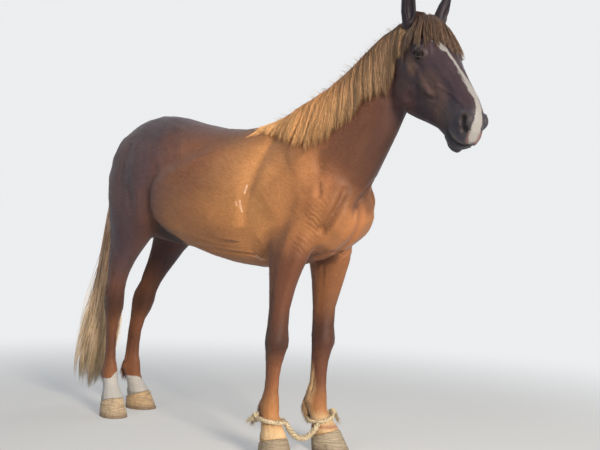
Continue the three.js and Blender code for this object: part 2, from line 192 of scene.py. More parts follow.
HEAD_PITCH = radians(49)
EYE_PLACE = np.array([0.191, 0, -0.006])  # of the point between the eyes
EYES = {side: middle_of("eye_" + side) for side in SIDES}
HEAD_SIDE = unit(EYES["left"] - EYES["right"])
HEAD_AHEAD = np.cross(HEAD_SIDE, UP)
HEAD_AXES = np.array([
    HEAD_AHEAD * cos(HEAD_PITCH) - UP * sin(HEAD_PITCH),
    HEAD_SIDE,
    HEAD_AHEAD * sin(HEAD_PITCH) + UP * cos(HEAD_PITCH),
])
POLL = (EYES["left"] + EYES["right"]) / 2 - EYE_PLACE @ HEAD_AXES


def to_head(points):
    return (np.asarray(points) - POLL) @ HEAD_AXES.T


def from_head(points):
    return np.asarray(points, float) @ HEAD_AXES + POLL


# ---- Camera, light and floor --------------------------------------------------------------------

CAMERA_PLACE = (2.7595, -2.86, 0.88)


def camera():
    """At a person's chest height, ahead of the horse's right shoulder."""
    turn, pitch, roll = radians(41.1), radians(1.6), radians(2.2)
    ahead = Vector((-sin(turn) * cos(pitch), cos(turn) * cos(pitch), sin(pitch)))
    level = Vector((cos(turn), sin(turn), 0))
    over = level.cross(ahead)
    right = cos(roll) * level + sin(roll) * over
    top = -sin(roll) * level + cos(roll) * over
    lens = bpy.data.cameras.new("camera")
    lens.sensor_width = 36
    lens.lens = 52
    eye = bpy.data.objects.new("camera", lens)
    turned = Matrix((right, top, -ahead)).transposed().to_4x4()
    eye.matrix_world = Matrix.Translation(CAMERA_PLACE) @ turned
    bpy.context.scene.collection.objects.link(eye)
    bpy.context.scene.camera = eye


def lamp(name, place, aim, size, power, colour):
    light = bpy.data.lights.new(name, "AREA")
    light.size = size
    light.energy = power
    light.color = colour
    obj = bpy.data.objects.new(name, light)
    obj.location = place
    obj.rotation_euler = (Vector(aim) - Vector(place)).to_track_quat("-Z", "Y").to_euler()
    bpy.context.scene.collection.objects.link(obj)


def studio():
    """Plain soft light: a warm key, two pale lamps, and a faint sky behind a pale background."""
    lamp("key", (6.2, -2.5, 2.8), (0, 0, 1.0), 1.6, 560, (1.0, 0.90, 0.76))
    lamp("fill", (0.0, -6.5, 3.8), (0, 0, 0.9), 2.2, 60, (0.84, 0.91, 1.0))
    lamp("back", (-1.5, 5.5, 4.0), (0, 0, 1.0), 4.0, 80, (0.90, 0.95, 1.0))
    world = Shader("studio", bpy.data.worlds, "OutputWorld")
    sky = world.add("Background", {"Color": SKY, "Strength": 0.20})
    seen = world.add("Background", {"Color": BACKDROP})
    world.show(world.add("MixShader", {0: sees_backdrop(world), 1: sky, 2: seen}))
    bpy.context.scene.world = world.owner
    bpy.context.scene.view_settings.view_transform = "Standard"
    floor()


def sees_backdrop(m):
    """1 for the rays that show the pale background: straight from the camera, mirrored, or let through."""
    camera_ray, mirrored, let_through = (m.add("LightPath", {}, "Is %s Ray" % kind)
                                         for kind in ("Camera", "Glossy", "Transmission"))
    return m.math("MAXIMUM", m.math("MAXIMUM", camera_ray, mirrored), let_through)


def floor():
    """A pale floor that runs into the background's colour a few metres from the horse."""
    reach = 40
    corners = reach * np.array([(-1, -1, 0), (1, -1, 0), (1, 1, 0), (-1, 1, 0)])
    plane = object_from("floor", mesh_from("floor", corners, np.array([[0, 1, 2, 3]])))
    m = Shader("floor")
    near_by = m.add("BsdfPrincipled", {"Base Color": (0.74, 0.73, 0.71, 1), "Roughness": 0.9})
    far_off = m.add("Emission", {"Color": BACKDROP})
    distance = m.add("VectorMath", {0: m.add("TexCoord", {}, "Object")}, 1, operation="LENGTH")
    shown = m.math("MULTIPLY", sees_backdrop(m), m.ramp(distance, 1.4, 4.6, 0.30, 1.0))
    m.show(m.add("MixShader", {0: shown, 1: near_by, 2: far_off}))
    plane.data.materials.append(m.owner)


# ---- Materials ----------------------------------------------------------------------------------

class Shader:
    """A material's or the world's nodes, and the few ways they are joined here."""

    def __init__(self, name, owners=bpy.data.materials, output="OutputMaterial"):
        self.owner = owners.new(name)
        self.owner.use_nodes = True
        self.tree = self.owner.node_tree
        self.tree.nodes.clear()
        self.out = self.tree.nodes.new("ShaderNode" + output)

    def add(self, kind, inputs, output=0, **settings):
        """Adds a node, sets or links its inputs, and gives one of its outputs."""
        node = self.tree.nodes.new("ShaderNode" + kind)
        for key, value in settings.items():
            setattr(node, key, value)
        for key, value in inputs.items():
            if isinstance(value, bpy.types.NodeSocket):
                self.tree.links.new(value, node.inputs[key])
            else:
                node.inputs[key].default_value = value
        return node.outputs[output]

    def show(self, shader):
        self.tree.links.new(shader, self.out.inputs["Surface"])

    def surface(self, inputs):
        """Ends the material with one plain shader, and gives the material."""
        self.show(self.add("BsdfPrincipled", inputs))
        return self.owner

    def place(self, scale, turn=(0, 0, 0)):
        """The object's coordinates, turned and then scaled."""
        turned = self.add("Mapping", {"Vector": self.add("TexCoord", {}, "Object"), "Rotation": turn})
        return self.add("Mapping", {"Vector": turned, "Scale": scale})

    def noise(self, scale, detail=3, turn=(0, 0, 0)):
        scales = (scale,) * 3 if np.isscalar(scale) else scale
        inputs = {"Vector": self.place(scales, turn), "Scale": 1.0, "Detail": detail, "Roughness": 0.55}
        return self.add("TexNoise", inputs)

    def ramp(self, value, low, high, start=0.0, end=1.0):
        ends = {0: value, 1: low, 2: high, 3: start, 4: end}
        return self.add("MapRange", ends, interpolation_type="SMOOTHSTEP")

    def math(self, operation, a, b=0.0):
        return self.add("Math", {0: a, 1: b}, operation=operation)

    def mix(self, share, a, b, blend="MIX"):
        return self.add("Mix", {0: share, 6: a, 7: b}, 2, data_type="RGBA", blend_type=blend)

    def times(self, colour, by):
        return self.mix(1.0, colour, (*by, 1), "MULTIPLY")

    def field(self, name, output="Fac"):
        """A value or colour that the mesh carries."""
        return self.add("Attribute", {}, output, attribute_name=name)

    def bump(self, height, distance, strength=1.0, normal=None):
        inputs = {"Height": height, "Distance": distance, "Strength": strength}
        if normal:
            inputs["Normal"] = normal
        return self.add("Bump", inputs)


# ---- The skin -----------------------------------------------------------------------------------

def flesh_solid(swell=0.0015):
    """The flesh's solids as one mesh, each swollen a little so that it runs into its neighbours."""
    points, faces, first = [], [], 0
    for node in FLESH:
        bm = bmesh.new()
        bm.from_mesh(NODES[node].data)
        bmesh.ops.remove_doubles(bm, verts=bm.verts, dist=1e-5)
        bmesh.ops.triangulate(bm, faces=bm.faces)
        bm.normal_update()
        points += [v.co + v.normal * swell for v in bm.verts]
        faces += [[first + v.index for v in f.verts] for f in bm.faces]
        first += len(bm.verts)
        bm.free()
    return mesh_from("flesh", np.array(points), np.array(faces))


def head_share(points):
    """1 on the head, 0 on the neck and body."""
    return smoothstep(0.70, 0.80, points[:, 0]) * (points[:, 2] > 1.2)


def softness(points, ears):
    """How far each part of the solids is smoothed: the share of a diffusion that blurs by WIDEST_BLUR."""
    height = points[:, 2]
    leg = np.interp(height, [0.10, 0.45, 0.62, 0.80, 0.95, 1.08], [0.045, 0.055, 0.10, 0.30, 0.65, 1.0])
    neck = 1 - 0.55 * smoothstep(0.35, 0.62, points[:, 0]) * smoothstep(1.2, 1.35, height)
    soft = np.minimum(leg, neck)
    head = head_share(points)
    soft = soft * (1 - head) + 0.05 * head
    return np.where(ears, 0.012, soft)


def near(points, node, reach):
    """Which points lie within reach of a CAD node."""
    low, high = box_of(node)
    found = np.all((points > low - reach) & (points < high + reach), axis=1)
    tree = BVHTree.FromObject(NODES[node], bpy.context.evaluated_depsgraph_get())
    for i in np.nonzero(found)[0]:
        found[i] = tree.find_nearest(points[i], reach)[0] is not None
    return found


# How wide each foreleg is beside its solid, at these heights.
FORELEG_HEIGHTS = [0.39, 0.435, 0.485, 0.53, 0.62, 0.72, 0.82]
FORELEG_WIDTH = {
    "foreleg_right": [1, 0.87, 1, 0.97, 0.86, 0.90, 1],
    "foreleg_left": [1, 0.93, 1, 0.97, 0.91, 0.94, 1],
}


def narrowed(points):
    """Slims the forelegs under the knee and above it."""
    low, high = FORELEG_HEIGHTS[0], FORELEG_HEIGHTS[-1]
    for leg, width in FORELEG_WIDTH.items():
        mine = over_leg(points, leg) & (points[:, 2] > low) & (points[:, 2] < high)
        p = points[mine]
        share = np.interp(p[:, 2], FORELEG_HEIGHTS, width)
        middle_x = np.interp(p[:, 2], [0.40, 0.50, 0.80], [0.287, 0.300, 0.322])
        middle_x += (box_of(leg)[0][0] - 0.225) * 0.9
        middle_y = middle_of(leg)[1] + (0.004 if leg_side(leg) > 0 else -0.002)
        p[:, 0] = middle_x + (p[:, 0] - middle_x) * (0.4 + 0.6 * share)
        p[:, 1] = middle_y + (p[:, 1] - middle_y) * share
        points[mine] = p
    return points


def skin_base():
    """The flesh as one smooth skin, drawn in by the coat's depth."""
    flesh = object_from("skin", flesh_solid())
    mesh = modified(flesh, "REMESH", mode="VOXEL", voxel_size=VOXEL, adaptivity=0)
    points = points_of(mesh)
    ears = near(points, "ear_right", 0.004) | near(points, "ear_left", 0.004)
    rounds = round(4 * WIDEST_BLUR**2 / VOXEL**2)
    mesh = modified(flesh, "SMOOTH", group=softness(points, ears), factor=0.5, iterations=rounds)
    move_points(mesh, narrowed(points_of(mesh) - normals_of(mesh) * COAT_DEPTH))
    return flesh


class Surface:
    """The skin as it is now, for finding places on it, and its legs' middles and sizes."""

    def __init__(self, mesh, legs=None):
        self.points = points_of(mesh)
        self.legs = legs or leg_slices(self.points)
        self.tree = BVHTree.FromPolygons(self.points.tolist(), triangles_of(mesh).tolist())

    def nearest(self, point):
        place, normal, _, _ = self.tree.find_nearest(Vector(point))
        return np.array(place), np.array(normal)

    def towards(self, start, direction):
        place, normal, _, _ = self.tree.ray_cast(Vector(start), Vector(direction))
        return (np.array(place), np.array(normal)) if place else self.nearest(start)

    def flank(self, x, z, side):
        """Where the body's side is, at a place of the side view."""
        return self.towards((x, 0.6 * side, z), (0, -side, 0))[0]

    def face(self, s, n, side):
        """Where the head's side is, at a place of its own side view. Past its edge, the nearest place."""
        hit = self.tree.ray_cast(Vector(from_head([s, 0.25 * side, n])), Vector(-side * HEAD_AXES[1]))[0]
        return np.array(hit) if hit else self.nearest(from_head([s, 0.01 * side, n]))[0]

    def above(self, x, y):
        return self.towards((x, y, 2.2), (0, 0, -1))[0]


def falloff(points, path, radius, sharp=2):
    """1 on a path of one point or more, falling smoothly to 0 at a radius from it."""
    path = np.atleast_2d(np.asarray(path, float))
    low, high = path.min(0) - radius, path.max(0) + radius
    found = np.nonzero(np.all((points > low) & (points < high), axis=1))[0]
    share = np.zeros(len(points))
    if not len(found):
        return share
    p = points[found]
    best = np.full(len(found), np.inf)
    for a, b in zip(path[:-1], path[1:]) if len(path) > 1 else [(path[0], path[0] + 1e-6)]:
        along = np.clip(((p - a) @ (b - a)) / ((b - a) @ (b - a)), 0, 1)
        best = np.minimum(best, np.linalg.norm(p - a - along[:, None] * (b - a), axis=1))
    share[found] = np.clip(1 - (best / radius) ** 2, 0, 1) ** sharp
    return share


# ---- Legs: a place on a leg is an angle from its front, towards its outer side, and a height ----

def leg_side(leg):
    return SIDES[leg.split("_")[1]]


def leg_slices(points):
    """Each leg's middle and half sizes at a row of heights."""
    heights = np.arange(0.09, 0.80, 0.02)
    slices = {}
    for leg in LEGS:
        mine = points[over_leg(points, leg)]
        rows = []
        for z in heights:
            ring = mine[np.abs(mine[:, 2] - z) < 0.008]
            corners = np.array([ring.min(0), ring.max(0)])
            rows.append([*corners.mean(0)[:2], *(corners[1] - corners[0])[:2] / 2])
        slices[leg] = (heights, np.array(rows))
    return slices


def on_leg(surface, leg, angle, z):
    """A place on a leg's skin. The lower leg's angles are turned outwards with its toe."""
    heights, rows = surface.legs[leg]
    x, y, depth, width = (np.interp(z, heights, rows[:, k]) for k in range(4))
    side = leg_side(leg)
    toe_out = radians(18) * np.clip(1.9 * max((0.9 - z) / 0.9, 0) ** 0.8, 0, 1)
    turn = side * (radians(angle) + toe_out)
    return surface.nearest([x + cos(turn) * depth, y + sin(turn) * width, z])[0]


# ---- Modelling strokes: where, how wide and how high, in millimetres ----------------------------

# In the side view, on both sides: x and z.
BODY_STROKES = [
    ([(-450, 1240), (-475, 1160), (-500, 1070), (-530, 980)], 58, -13),  # flank, before the thigh
    ([(-490, 1120), (-510, 1040), (-535, 970)], 32, -5),
    ([(-580, 1240), (-570, 1110), (-575, 1010)], 60, 12),  # the thigh's front
    ([(-460, 1420), (-430, 1370)], 55, 8),  # point of the hip
    ([(-380, 1340), (-340, 1270)], 80, -11),  # hollow of the flank
    ([(-810, 1330), (-835, 1180), (-820, 1040), (-780, 920), (-760, 840)], 40, -5),  # hamstrings
    ([(-480, 1050), (-475, 1095), (-450, 1140), (-400, 1165), (-320, 1200), (-190, 1245),
      (-70, 1300)], 27, 7),
    ([(-460, 1210), (-400, 1235), (-300, 1275), (-170, 1320)], 44, -7),  # over the barrel's edge
    ([(-505, 970), (-470, 930), (-410, 905)], 55, -16),  # the belly tucked up to the flank
    ([(-670, 1360), (-700, 1200), (-680, 1050), (-640, 940)], 36, -7),  # before the biceps
    ([(-550, 990)], 50, 7),  # stifle
    ([(-660, 930), (-730, 810), (-780, 730)], 20, -4),  # between the gaskin's muscles
    ([(360, 1420), (430, 1310), (490, 1220)], 50, -10),  # before the shoulder blade
    ([(490, 1220), (530, 1160)], 44, -2),
    ([(270, 1400), (340, 1290), (420, 1170)], 30, 7),  # its ridge
    ([(190, 1370), (170, 1240), (150, 1110), (130, 990)], 50, -13),  # behind the shoulder
    ([(250, 1170), (260, 1060)], 85, 12),  # triceps
    ([(380, 1090), (350, 1010), (300, 940)], 42, -6),  # under the triceps
    ([(200, 930)], 36, 8),  # elbow
    ([(420, 1000), (370, 930), (345, 860)], 34, 6),  # the forearm's extensor
    ([(140, 845), (20, 857), (-120, 868), (-240, 878)], 10, -6),  # fold along the belly
    ([(120, 862), (0, 873), (-100, 884), (-220, 895)], 10, 4),
    ([(50, 893), (-70, 902), (-180, 915), (-290, 935)], 12, 3),
    ([(80, 906), (-80, 916), (-200, 932)], 10, -3),
    ([(770, 1370), (720, 1290), (670, 1220), (630, 1160)], 24, -9),  # jugular groove
    ([(740, 1460), (680, 1350), (600, 1240)], 50, 8),  # the muscle above it
    ([(600, 1500), (530, 1410), (460, 1340)], 40, -7),  # before the shoulder's hollow
    ([(700, 1560), (620, 1440)], 40, -3),
]

# Places in space, mirrored to the other side as well.
DEEP_STROKES = [
    ([(588, 95, 1120), (578, 122, 1070), (549, 137, 1008), (500, 138, 955)], 32, -13),
    ([(588, 100, 1110), (560, 135, 1030)], 18, -4),  # the dark groove between shoulder and breast
    ([(500, 138, 955), (452, 145, 900)], 30, -7),
    ([(605, 0, 1080), (600, 0, 1000), (545, 0, 910), (470, 0, 870)], 30, -8),  # between the breasts
    ([(390, 30, 842), (434, 26, 860), (479, 30, 876)], 12, -6),
    ([(440, 90, 945), (500, 75, 985), (540, 70, 1030)], 44, 6),  # pectoral
]

# Where the turned neck meets the breast, and folds over the left foreleg: places that aren't mirrored.
SINGLE_STROKES = [
    ([(626, 56, 1182), (600, 22, 1125), (599, -34, 1066), (597, -45, 1020)], 19, -9),
    ([(314, 73, 827), (376, 79, 849), (471, 41, 875), (492, 60, 890)], 9, -7),
    ([(335, 77, 810), (396, 91, 835), (439, 118, 867), (450, 140, 880)], 8, -6),
    ([(330, 80, 792), (390, 100, 815), (425, 130, 845)], 7, -4),
]

# In the head's side view, on both sides: s and n.
FACE_STROKES = [
    ([(146, 18), (170, 32), (200, 34), (216, 28)], 14, 4),  # upper rim of the orbit
    ([(115, 34)], 26, -7),  # hollow over the eye
    ([(160, -34), (195, -43), (232, -36)], 11, -1.5),  # under the eye
    ([(215, -55), (250, -68), (300, -76), (338, -74)], 18, 3.5),  # facial crest
    ([(262, -102), (305, -108), (345, -94), (365, -74)], 16, -4),
    ([(360, -18), (430, -30)], 34, -5),  # side of the nose
    ([(340, -34), (420, -8), (490, 4)], 11, 2.5),  # the lip's lifter
    ([(300, -130), (285, -170), (255, -212)], 24, -3),  # front of the cheek
    ([(290, -135), (320, -112), (355, -98)], 6, 1.2),  # vein
    ([(60, -40), (62, -110), (85, -190), (130, -245)], 16, -6),  # behind the jaw
    ([(484, -106), (508, -116), (545, -113), (570, -108), (590, -94)], 9, -6),  # mouth
    ([(500, -98), (540, -104), (570, -98)], 12, 1.5),  # upper lip
    ([(520, -138), (552, -136)], 15, 3),  # lower lip
    ([(470, -152)], 20, -5),  # behind the chin
    ([(478, -96), (484, -124)], 5, -2),  # corner of the mouth
    ([(522, 0), (516, -24), (529, -47), (551, -66)], 11, 3),  # outer wing of the nostril
    ([(543, 4), (564, -12), (578, -36)], 11, 1.5),  # its inner wing
    ([(533, -16), (546, -32), (558, -50)], 17, -8),  # the nostril itself
]

# On every leg, on the fore ones and on the hind ones: angle in degrees and height, on one side or both.
BOTH = (1, -1)
ONE = (1,)
LEG_STROKES = [
    ([(130, 222), (160, 208)], 17, 5, BOTH),  # sesamoid
    ([(180, 205)], 13, 5, ONE),  # ergot's pad
    ([(180, 160)], 18, -6, ONE),  # hollow of the pastern
    ([(112, 400), (115, 320), (118, 255)], 9, -4, BOTH),  # between cannon bone and tendon
]
FORE_STROKES = [
    ([(92, 860), (98, 740), (104, 600)], 12, -4, ONE),  # between the forearm's muscles
    ([(55, 800), (58, 680), (62, 560)], 9, -2.5, ONE),
    ([(-85, 800), (-92, 620)], 12, -3, ONE),
    ([(20, 840), (15, 700)], 34, 4, ONE),
    ([(172, 505)], 20, 8, ONE),  # the knee's rear bone
    ([(-55, 486), (0, 490), (55, 486)], 7, -1.8, ONE),  # rows of the knee
    ([(-50, 452), (0, 455), (50, 452)], 7, -1.8, ONE),
    ([(75, 500)], 16, 3, BOTH),
    ([(120, 445)], 10, -3, ONE),
]
HIND_STROKES = [
    ([(128, 790), (132, 710), (135, 645)], 15, -8, BOTH),  # before the great tendon
    ([(180, 605)], 20, 7, ONE),  # point of the hock
    ([(170, 860), (172, 790), (174, 720)], 46, 9, ONE),  # back of the gaskin
    ([(60, 800), (55, 700), (50, 640)], 13, -3.5, BOTH),  # between its muscles
    ([(30, 610), (32, 570), (25, 530)], 10, 2.5, BOTH),  # the hock's front edges
    ([(95, 605)], 15, -4, BOTH),
    ([(15, 560), (5, 530)], 22, 3, ONE),
    ([(-60, 545)], 15, 4, ONE),
    ([(70, 545)], 13, 3, ONE),
    ([(112, 510), (113, 460)], 10, -4, BOTH),
]


def strokes_on(surface):
    """Every stroke as a path on the skin in metres, and its radius and height in millimetres."""
    for strokes, put in ((BODY_STROKES, surface.flank), (FACE_STROKES, surface.face)):
        for path, *sizes in strokes:
            for side in SIDES.values():
                yield [put(*metres(place), side) for place in path], *sizes
    for path, *sizes in DEEP_STROKES:
        on_middle = all(y == 0 for _, y, _ in path)
        for side in ONE if on_middle else BOTH:
            yield [surface.nearest(metres(place) * (1, side, 1))[0] for place in path], *sizes
    for path, *sizes in SINGLE_STROKES:
        yield [surface.nearest(metres(place))[0] for place in path], *sizes
    for leg in LEGS:
        own = FORE_STROKES if leg.startswith("fore") else HIND_STROKES
        for path, radius, height, turns in LEG_STROKES + own:
            for turn in turns:
                yield [on_leg(surface, leg, turn * angle, z / 1000) for angle, z in path], radius, height


def shoulder_wrinkles(points, surface):
    """Fine parallel folds of skin above the groove at the front of each shoulder."""
    height = np.zeros(len(points))
    for side in SIDES.values():
        start = surface.nearest((0.570, 0.125 * side, 1.115))[0]
        end = surface.nearest((0.395, 0.170 * side, 0.820))[0]
        line = unit(end - start)
        away = unit(np.cross([0, side, 0], line)) * side
        run = (points - start) @ line
        off = (points - start) @ away
        length = np.linalg.norm(end - start)
        near_line = smoothstep(0.010, 0.045, run) * (1 - smoothstep(length * 0.8, length, run))
        band = smoothstep(-0.012, 0.004, off) * (1 - smoothstep(0.03, 0.085, off))
        outside = (points[:, 1] * side > 0.05) & (points[:, 0] < 0.66)
        bend = 0.25 * off + 0.004 * np.sin(off * 90) + 0.003 * np.sin(run * 61)
        waves = np.cos(tau * (run + bend) / 0.0195) * (0.70 + 0.30 * np.sin(run * 47 + off * 35))
        height += 0.0014 * waves * near_line * band * outside
    return height


def sculpt(skin):
    """Works the strokes, the wrinkles and the eyes into the skin."""
    mesh = skin.data
    surface = Surface(mesh)
    points, normals = surface.points, normals_of(mesh)
    rise = shoulder_wrinkles(points, surface)
    for path, radius, height in strokes_on(surface):
        rise += height / 1000 * falloff(points, path, radius / 1000)
    move_points(mesh, points + normals * rise[:, None])
    points = points_of(mesh)
    for side in SIDES:
        points = eye_opening(points, side)
    move_points(mesh, points)
    return Surface(mesh, surface.legs)


def thinned(skin):
    """Fewer triangles where the skin is plain, and as many as there are on the head and feet."""
    points = points_of(skin.data)
    count = len(triangles_of(skin.data))
    fine = np.maximum(head_share(points), 1 - smoothstep(0.25, 0.55, points[:, 2]))
    fine = np.maximum(fine, falloff(points, [(0.5, 0, 0.95)], 0.26, 0.5))
    fine = np.maximum(fine, scar_at(points, 0.014) > 0)
    share = SKIN_TRIANGLES / count
    return modified(skin, "DECIMATE", group=0.25 + 0.75 * (1 - fine), ratio=share, vertex_group_factor=1.0)


# ---- Eyes ---------------------------------------------------------------------------------------

EYE_RADIUS = 1.12 * np.ptp(box_of("eye_right")[:, 2]) / 2
EYE_FORWARD = radians(20)  # how far the eyes look ahead of straight out
LID = {"length": 0.0230, "up": 0.0136, "down": 0.0108, "thick": 0.0022}


def eye_axes(side):
    """The eye's own frame: towards the muzzle, outwards, and towards the brow."""
    tilt = radians(-34)
    over = HEAD_AXES[2]
    ahead = HEAD_AXES[0] * cos(EYE_FORWARD) - HEAD_AXES[1] * SIDES[side] * sin(EYE_FORWARD)
    out = HEAD_AXES[1] * SIDES[side] * cos(EYE_FORWARD) + HEAD_AXES[0] * sin(EYE_FORWARD)
    return np.array([ahead * cos(tilt) - over * sin(tilt), out, over * cos(tilt) + ahead * sin(tilt)])


def from_eye(side, *place):
    """Places that are given in an eye's own frame."""
    return EYES[side] + np.stack(place, -1) @ eye_axes(side)


def opening(ahead, over):
    """1 on the line of the lids' edges, less inside the opening."""
    half = np.where(over > 0, LID["up"], LID["down"])
    return np.sqrt((ahead / LID["length"]) ** 2 + (over / half) ** 2)


def eye_opening(points, side):
    """Lids that wrap the eyeball, a fold over the upper one, and the skin inside the opening drawn back."""
    local = (points - EYES[side]) @ eye_axes(side).T
    found = np.nonzero((np.linalg.norm(local, axis=1) < 0.06) & (local[:, 1] > -0.010))[0]
    ahead, out, over = local[found].T
    a = opening(ahead, over)
    top = EYE_RADIUS + LID["thick"]
    dome = top * np.sqrt(np.clip(1 - (ahead**2 + over**2) / (1.35 * top) ** 2, 0, 1))
    lift = np.maximum(dome - out, 0) * (1 - smoothstep(1.5, 2.7, a))
    sink = np.minimum(dome - out, 0) * 0.95 * (1 - smoothstep(1.10, 1.75, a))
    fold = 0.0020 * np.exp(-((a - 1.70) / 0.14) ** 2) * smoothstep(-0.004, 0.006, over)
    out = np.where(a < 1, -0.002, out + lift + sink - fold)
    moved = points.copy()
    moved[found] = from_eye(side, ahead, out, over)
    return moved


def eye(side):
    """The eyeball, drawn in a little where the lids hide it."""
    axes = eye_axes(side)
    obj = object_from("eyeball_" + side, bpy.data.meshes.new("eyeball"))
    bm = bmesh.new()
    pole_out = Matrix.Rotation(-pi / 2, 4, "X")
    bmesh.ops.create_uvsphere(bm, u_segments=48, v_segments=31, radius=EYE_RADIUS, matrix=pole_out)
    for v in bm.verts:
        hidden = smoothstep(1.15, 1.6, opening(v.co.x, v.co.z))
        v.co = EYES[side] + np.array(v.co) @ axes * (1 - 0.12 * hidden)
    bmesh.ops.recalc_face_normals(bm, faces=bm.faces)
    bm.to_mesh(obj.data)
    bm.free()
    local = (points_of(obj.data) - EYES[side]) @ axes.T / EYE_RADIUS
    give(obj.data, "across", local[:, 0])
    give(obj.data, "over", local[:, 2])
    obj.data.shade_smooth()
    finish_piece(obj, eye_material(), "eye", "eye_" + side)


def eye_material():
    """A dark brown eye with a wide pupil and a rim of dull white."""
    m = Shader("eye")
    across, over = m.field("across"), m.field("over")

    def rings(wide, high):
        """The distance from the eye's middle, in rings that are squeezed by two factors."""
        pairs = (across, wide), (over, high)
        squares = [m.math("POWER", m.math("MULTIPLY", *pair), 2.0) for pair in pairs]
        return m.math("SQRT", m.math("ADD", *squares))

    pupil, iris = rings(2.1, 3.9), rings(1.0, 1.0)
    rays = m.noise(420, 2)
    brown = m.mix(rays, (0.016, 0.007, 0.004, 1), (0.050, 0.021, 0.009, 1))
    inner = m.mix(m.ramp(pupil, 0.92, 1.06), (0.003, 0.003, 0.005, 1), brown)
    rim = m.mix(m.ramp(iris, 0.74, 0.84), inner, (0.012, 0.007, 0.005, 1))
    white = m.mix(m.ramp(iris, 0.90, 0.97), rim, (0.07, 0.045, 0.035, 1))
    return m.surface({"Base Color": white, "Roughness": 0.07, "Specular IOR Level": 0.22})


def lids(side):
    """The bare dark edges of the two lids, closed round the opening."""
    turn = circle(56)
    half = np.where(np.sin(turn) > 0, LID["up"], LID["down"])
    ahead = np.cos(turn) * LID["length"] * (1 + 0.07 * (np.cos(turn) > 0) * np.abs(np.cos(turn)) ** 6)
    over = np.sin(turn) * half
    out = np.sqrt(np.maximum((EYE_RADIUS + 0.0012) ** 2 - ahead**2 - over**2, 2e-5))
    path = from_eye(side, ahead, out, over)
    thick = 0.0025 + 0.0009 * np.maximum(np.sin(turn), 0)
    points, faces = ring_tube(path, thick, EYES[side], 10)
    obj = object_from("eyelids_" + side, mesh_from("eyelids", points, faces))
    finish_piece(obj, lid_material(), "coat")


def lashes(side):
    """The upper lid's lashes."""
    count = 70
    turn = RANDOM.uniform(0.10 * pi, 0.90 * pi, count)
    ahead, over = np.cos(turn) * LID["length"], np.sin(turn) * LID["up"]
    out = np.sqrt((EYE_RADIUS + 0.003) ** 2 - ahead**2 - over**2)
    root = from_eye(side, ahead, out, over)
    forwards = 0.5 * np.cos(turn) + RANDOM.normal(0, 0.12, count)
    lean = np.stack([forwards, np.ones(count), 0.4 * np.sin(turn)], -1) @ eye_axes(side)
    u = along_strand(6)
    length = RANDOM.uniform(0.007, 0.013, (count, 1, 1))
    paths = root[:, None] + unit(lean - 0.35 * UP)[:, None] * length * u + UP * 0.25 * length * u**2
    tone = (0.035, 0.024, 0.020)
    places = np.stack([turn / tau, np.full(count, 0.1 + 0.5 * (side == "left"))], 1)
    long_hair("eyelashes_" + side, paths, 0.0003, places, tone, tone)


def ring_tube(path, thick, middle, sides):
    """A closed tube along a ring of points, which needn't be flat."""
    ahead = unit(np.roll(path, -1, 0) - np.roll(path, 1, 0))
    out = unit(path - middle)
    across = unit(np.cross(ahead, out))
    turn = circle(sides)
    ring = out[:, None] * np.cos(turn)[None, :, None] + across[:, None] * np.sin(turn)[None, :, None]
    points = (path[:, None] + ring * thick[:, None, None]).reshape(-1, 3)
    return points, tube_faces(len(path), sides, closed=True)


def lid_material():
    m = Shader("lid")
    tone = m.mix(m.noise(300), (0.016, 0.011, 0.011, 1), (0.045, 0.030, 0.027, 1))
    return m.surface({"Base Color": tone, "Roughness": 0.3, "Normal": m.bump(m.noise(900), 0.0003)})


def give(mesh, name, values):
    """Puts a value, or a colour, on every vertex."""
    values = np.asarray(values, np.float32)
    if values.ndim == 1:
        mesh.attributes.new(name, "FLOAT", "POINT").data.foreach_set("value", values)
        return
    with_alpha = np.concatenate([values, np.ones((len(values), 1), np.float32)], 1)
    mesh.attributes.new(name, "FLOAT_COLOR", "POINT").data.foreach_set("color", with_alpha.ravel())


def finish_piece(obj, material, slot, *nodes):
    """Gives a piece its material and its body, and hides the CAD nodes it replaces. Its slot is not used."""
    obj.data.materials.clear()
    obj.data.materials.append(material)
    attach(obj, "root")
    if nodes:
        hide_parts(*nodes)


# ---- Colours and markings: the same rules for the skin and for the coat -------------------------

CHESTNUT = (0.305, 0.117, 0.047)
# Golden chestnut; on the ribs, shoulder, breast and belly it is painted sunlight.
GOLDEN = (0.52, 0.245, 0.090)
LIVER = (0.125, 0.048, 0.028)
# A bluish dark brown: painted shade with a painted reflection of the sky.
PAINTED_SHADE = (0.048, 0.038, 0.056)
# The face, ears and muzzle are darker and bluer than their own colours: painted shade.
FACE = (0.034, 0.022, 0.032)
EAR = (0.010, 0.006, 0.011)
MUZZLE = (0.045, 0.046, 0.062)
TAN = (0.36, 0.21, 0.115)
LIP = (0.15, 0.125, 0.115)
LID_SKIN = (0.040, 0.028, 0.026)
# Painted shade: near black in the groin, under the facial crest, inside the nostril and along the mouth.
SHADE_BLACK = (0.006, 0.004, 0.004)
DARK = (0.064, 0.028, 0.019)
PINK = (0.36, 0.215, 0.195)
CREAM = (0.76, 0.55, 0.31)
RUSSET = (0.36, 0.13, 0.075)
SCAR = (0.86, 0.58, 0.42)
SUNLIT = (0.74, 0.38, 0.13)

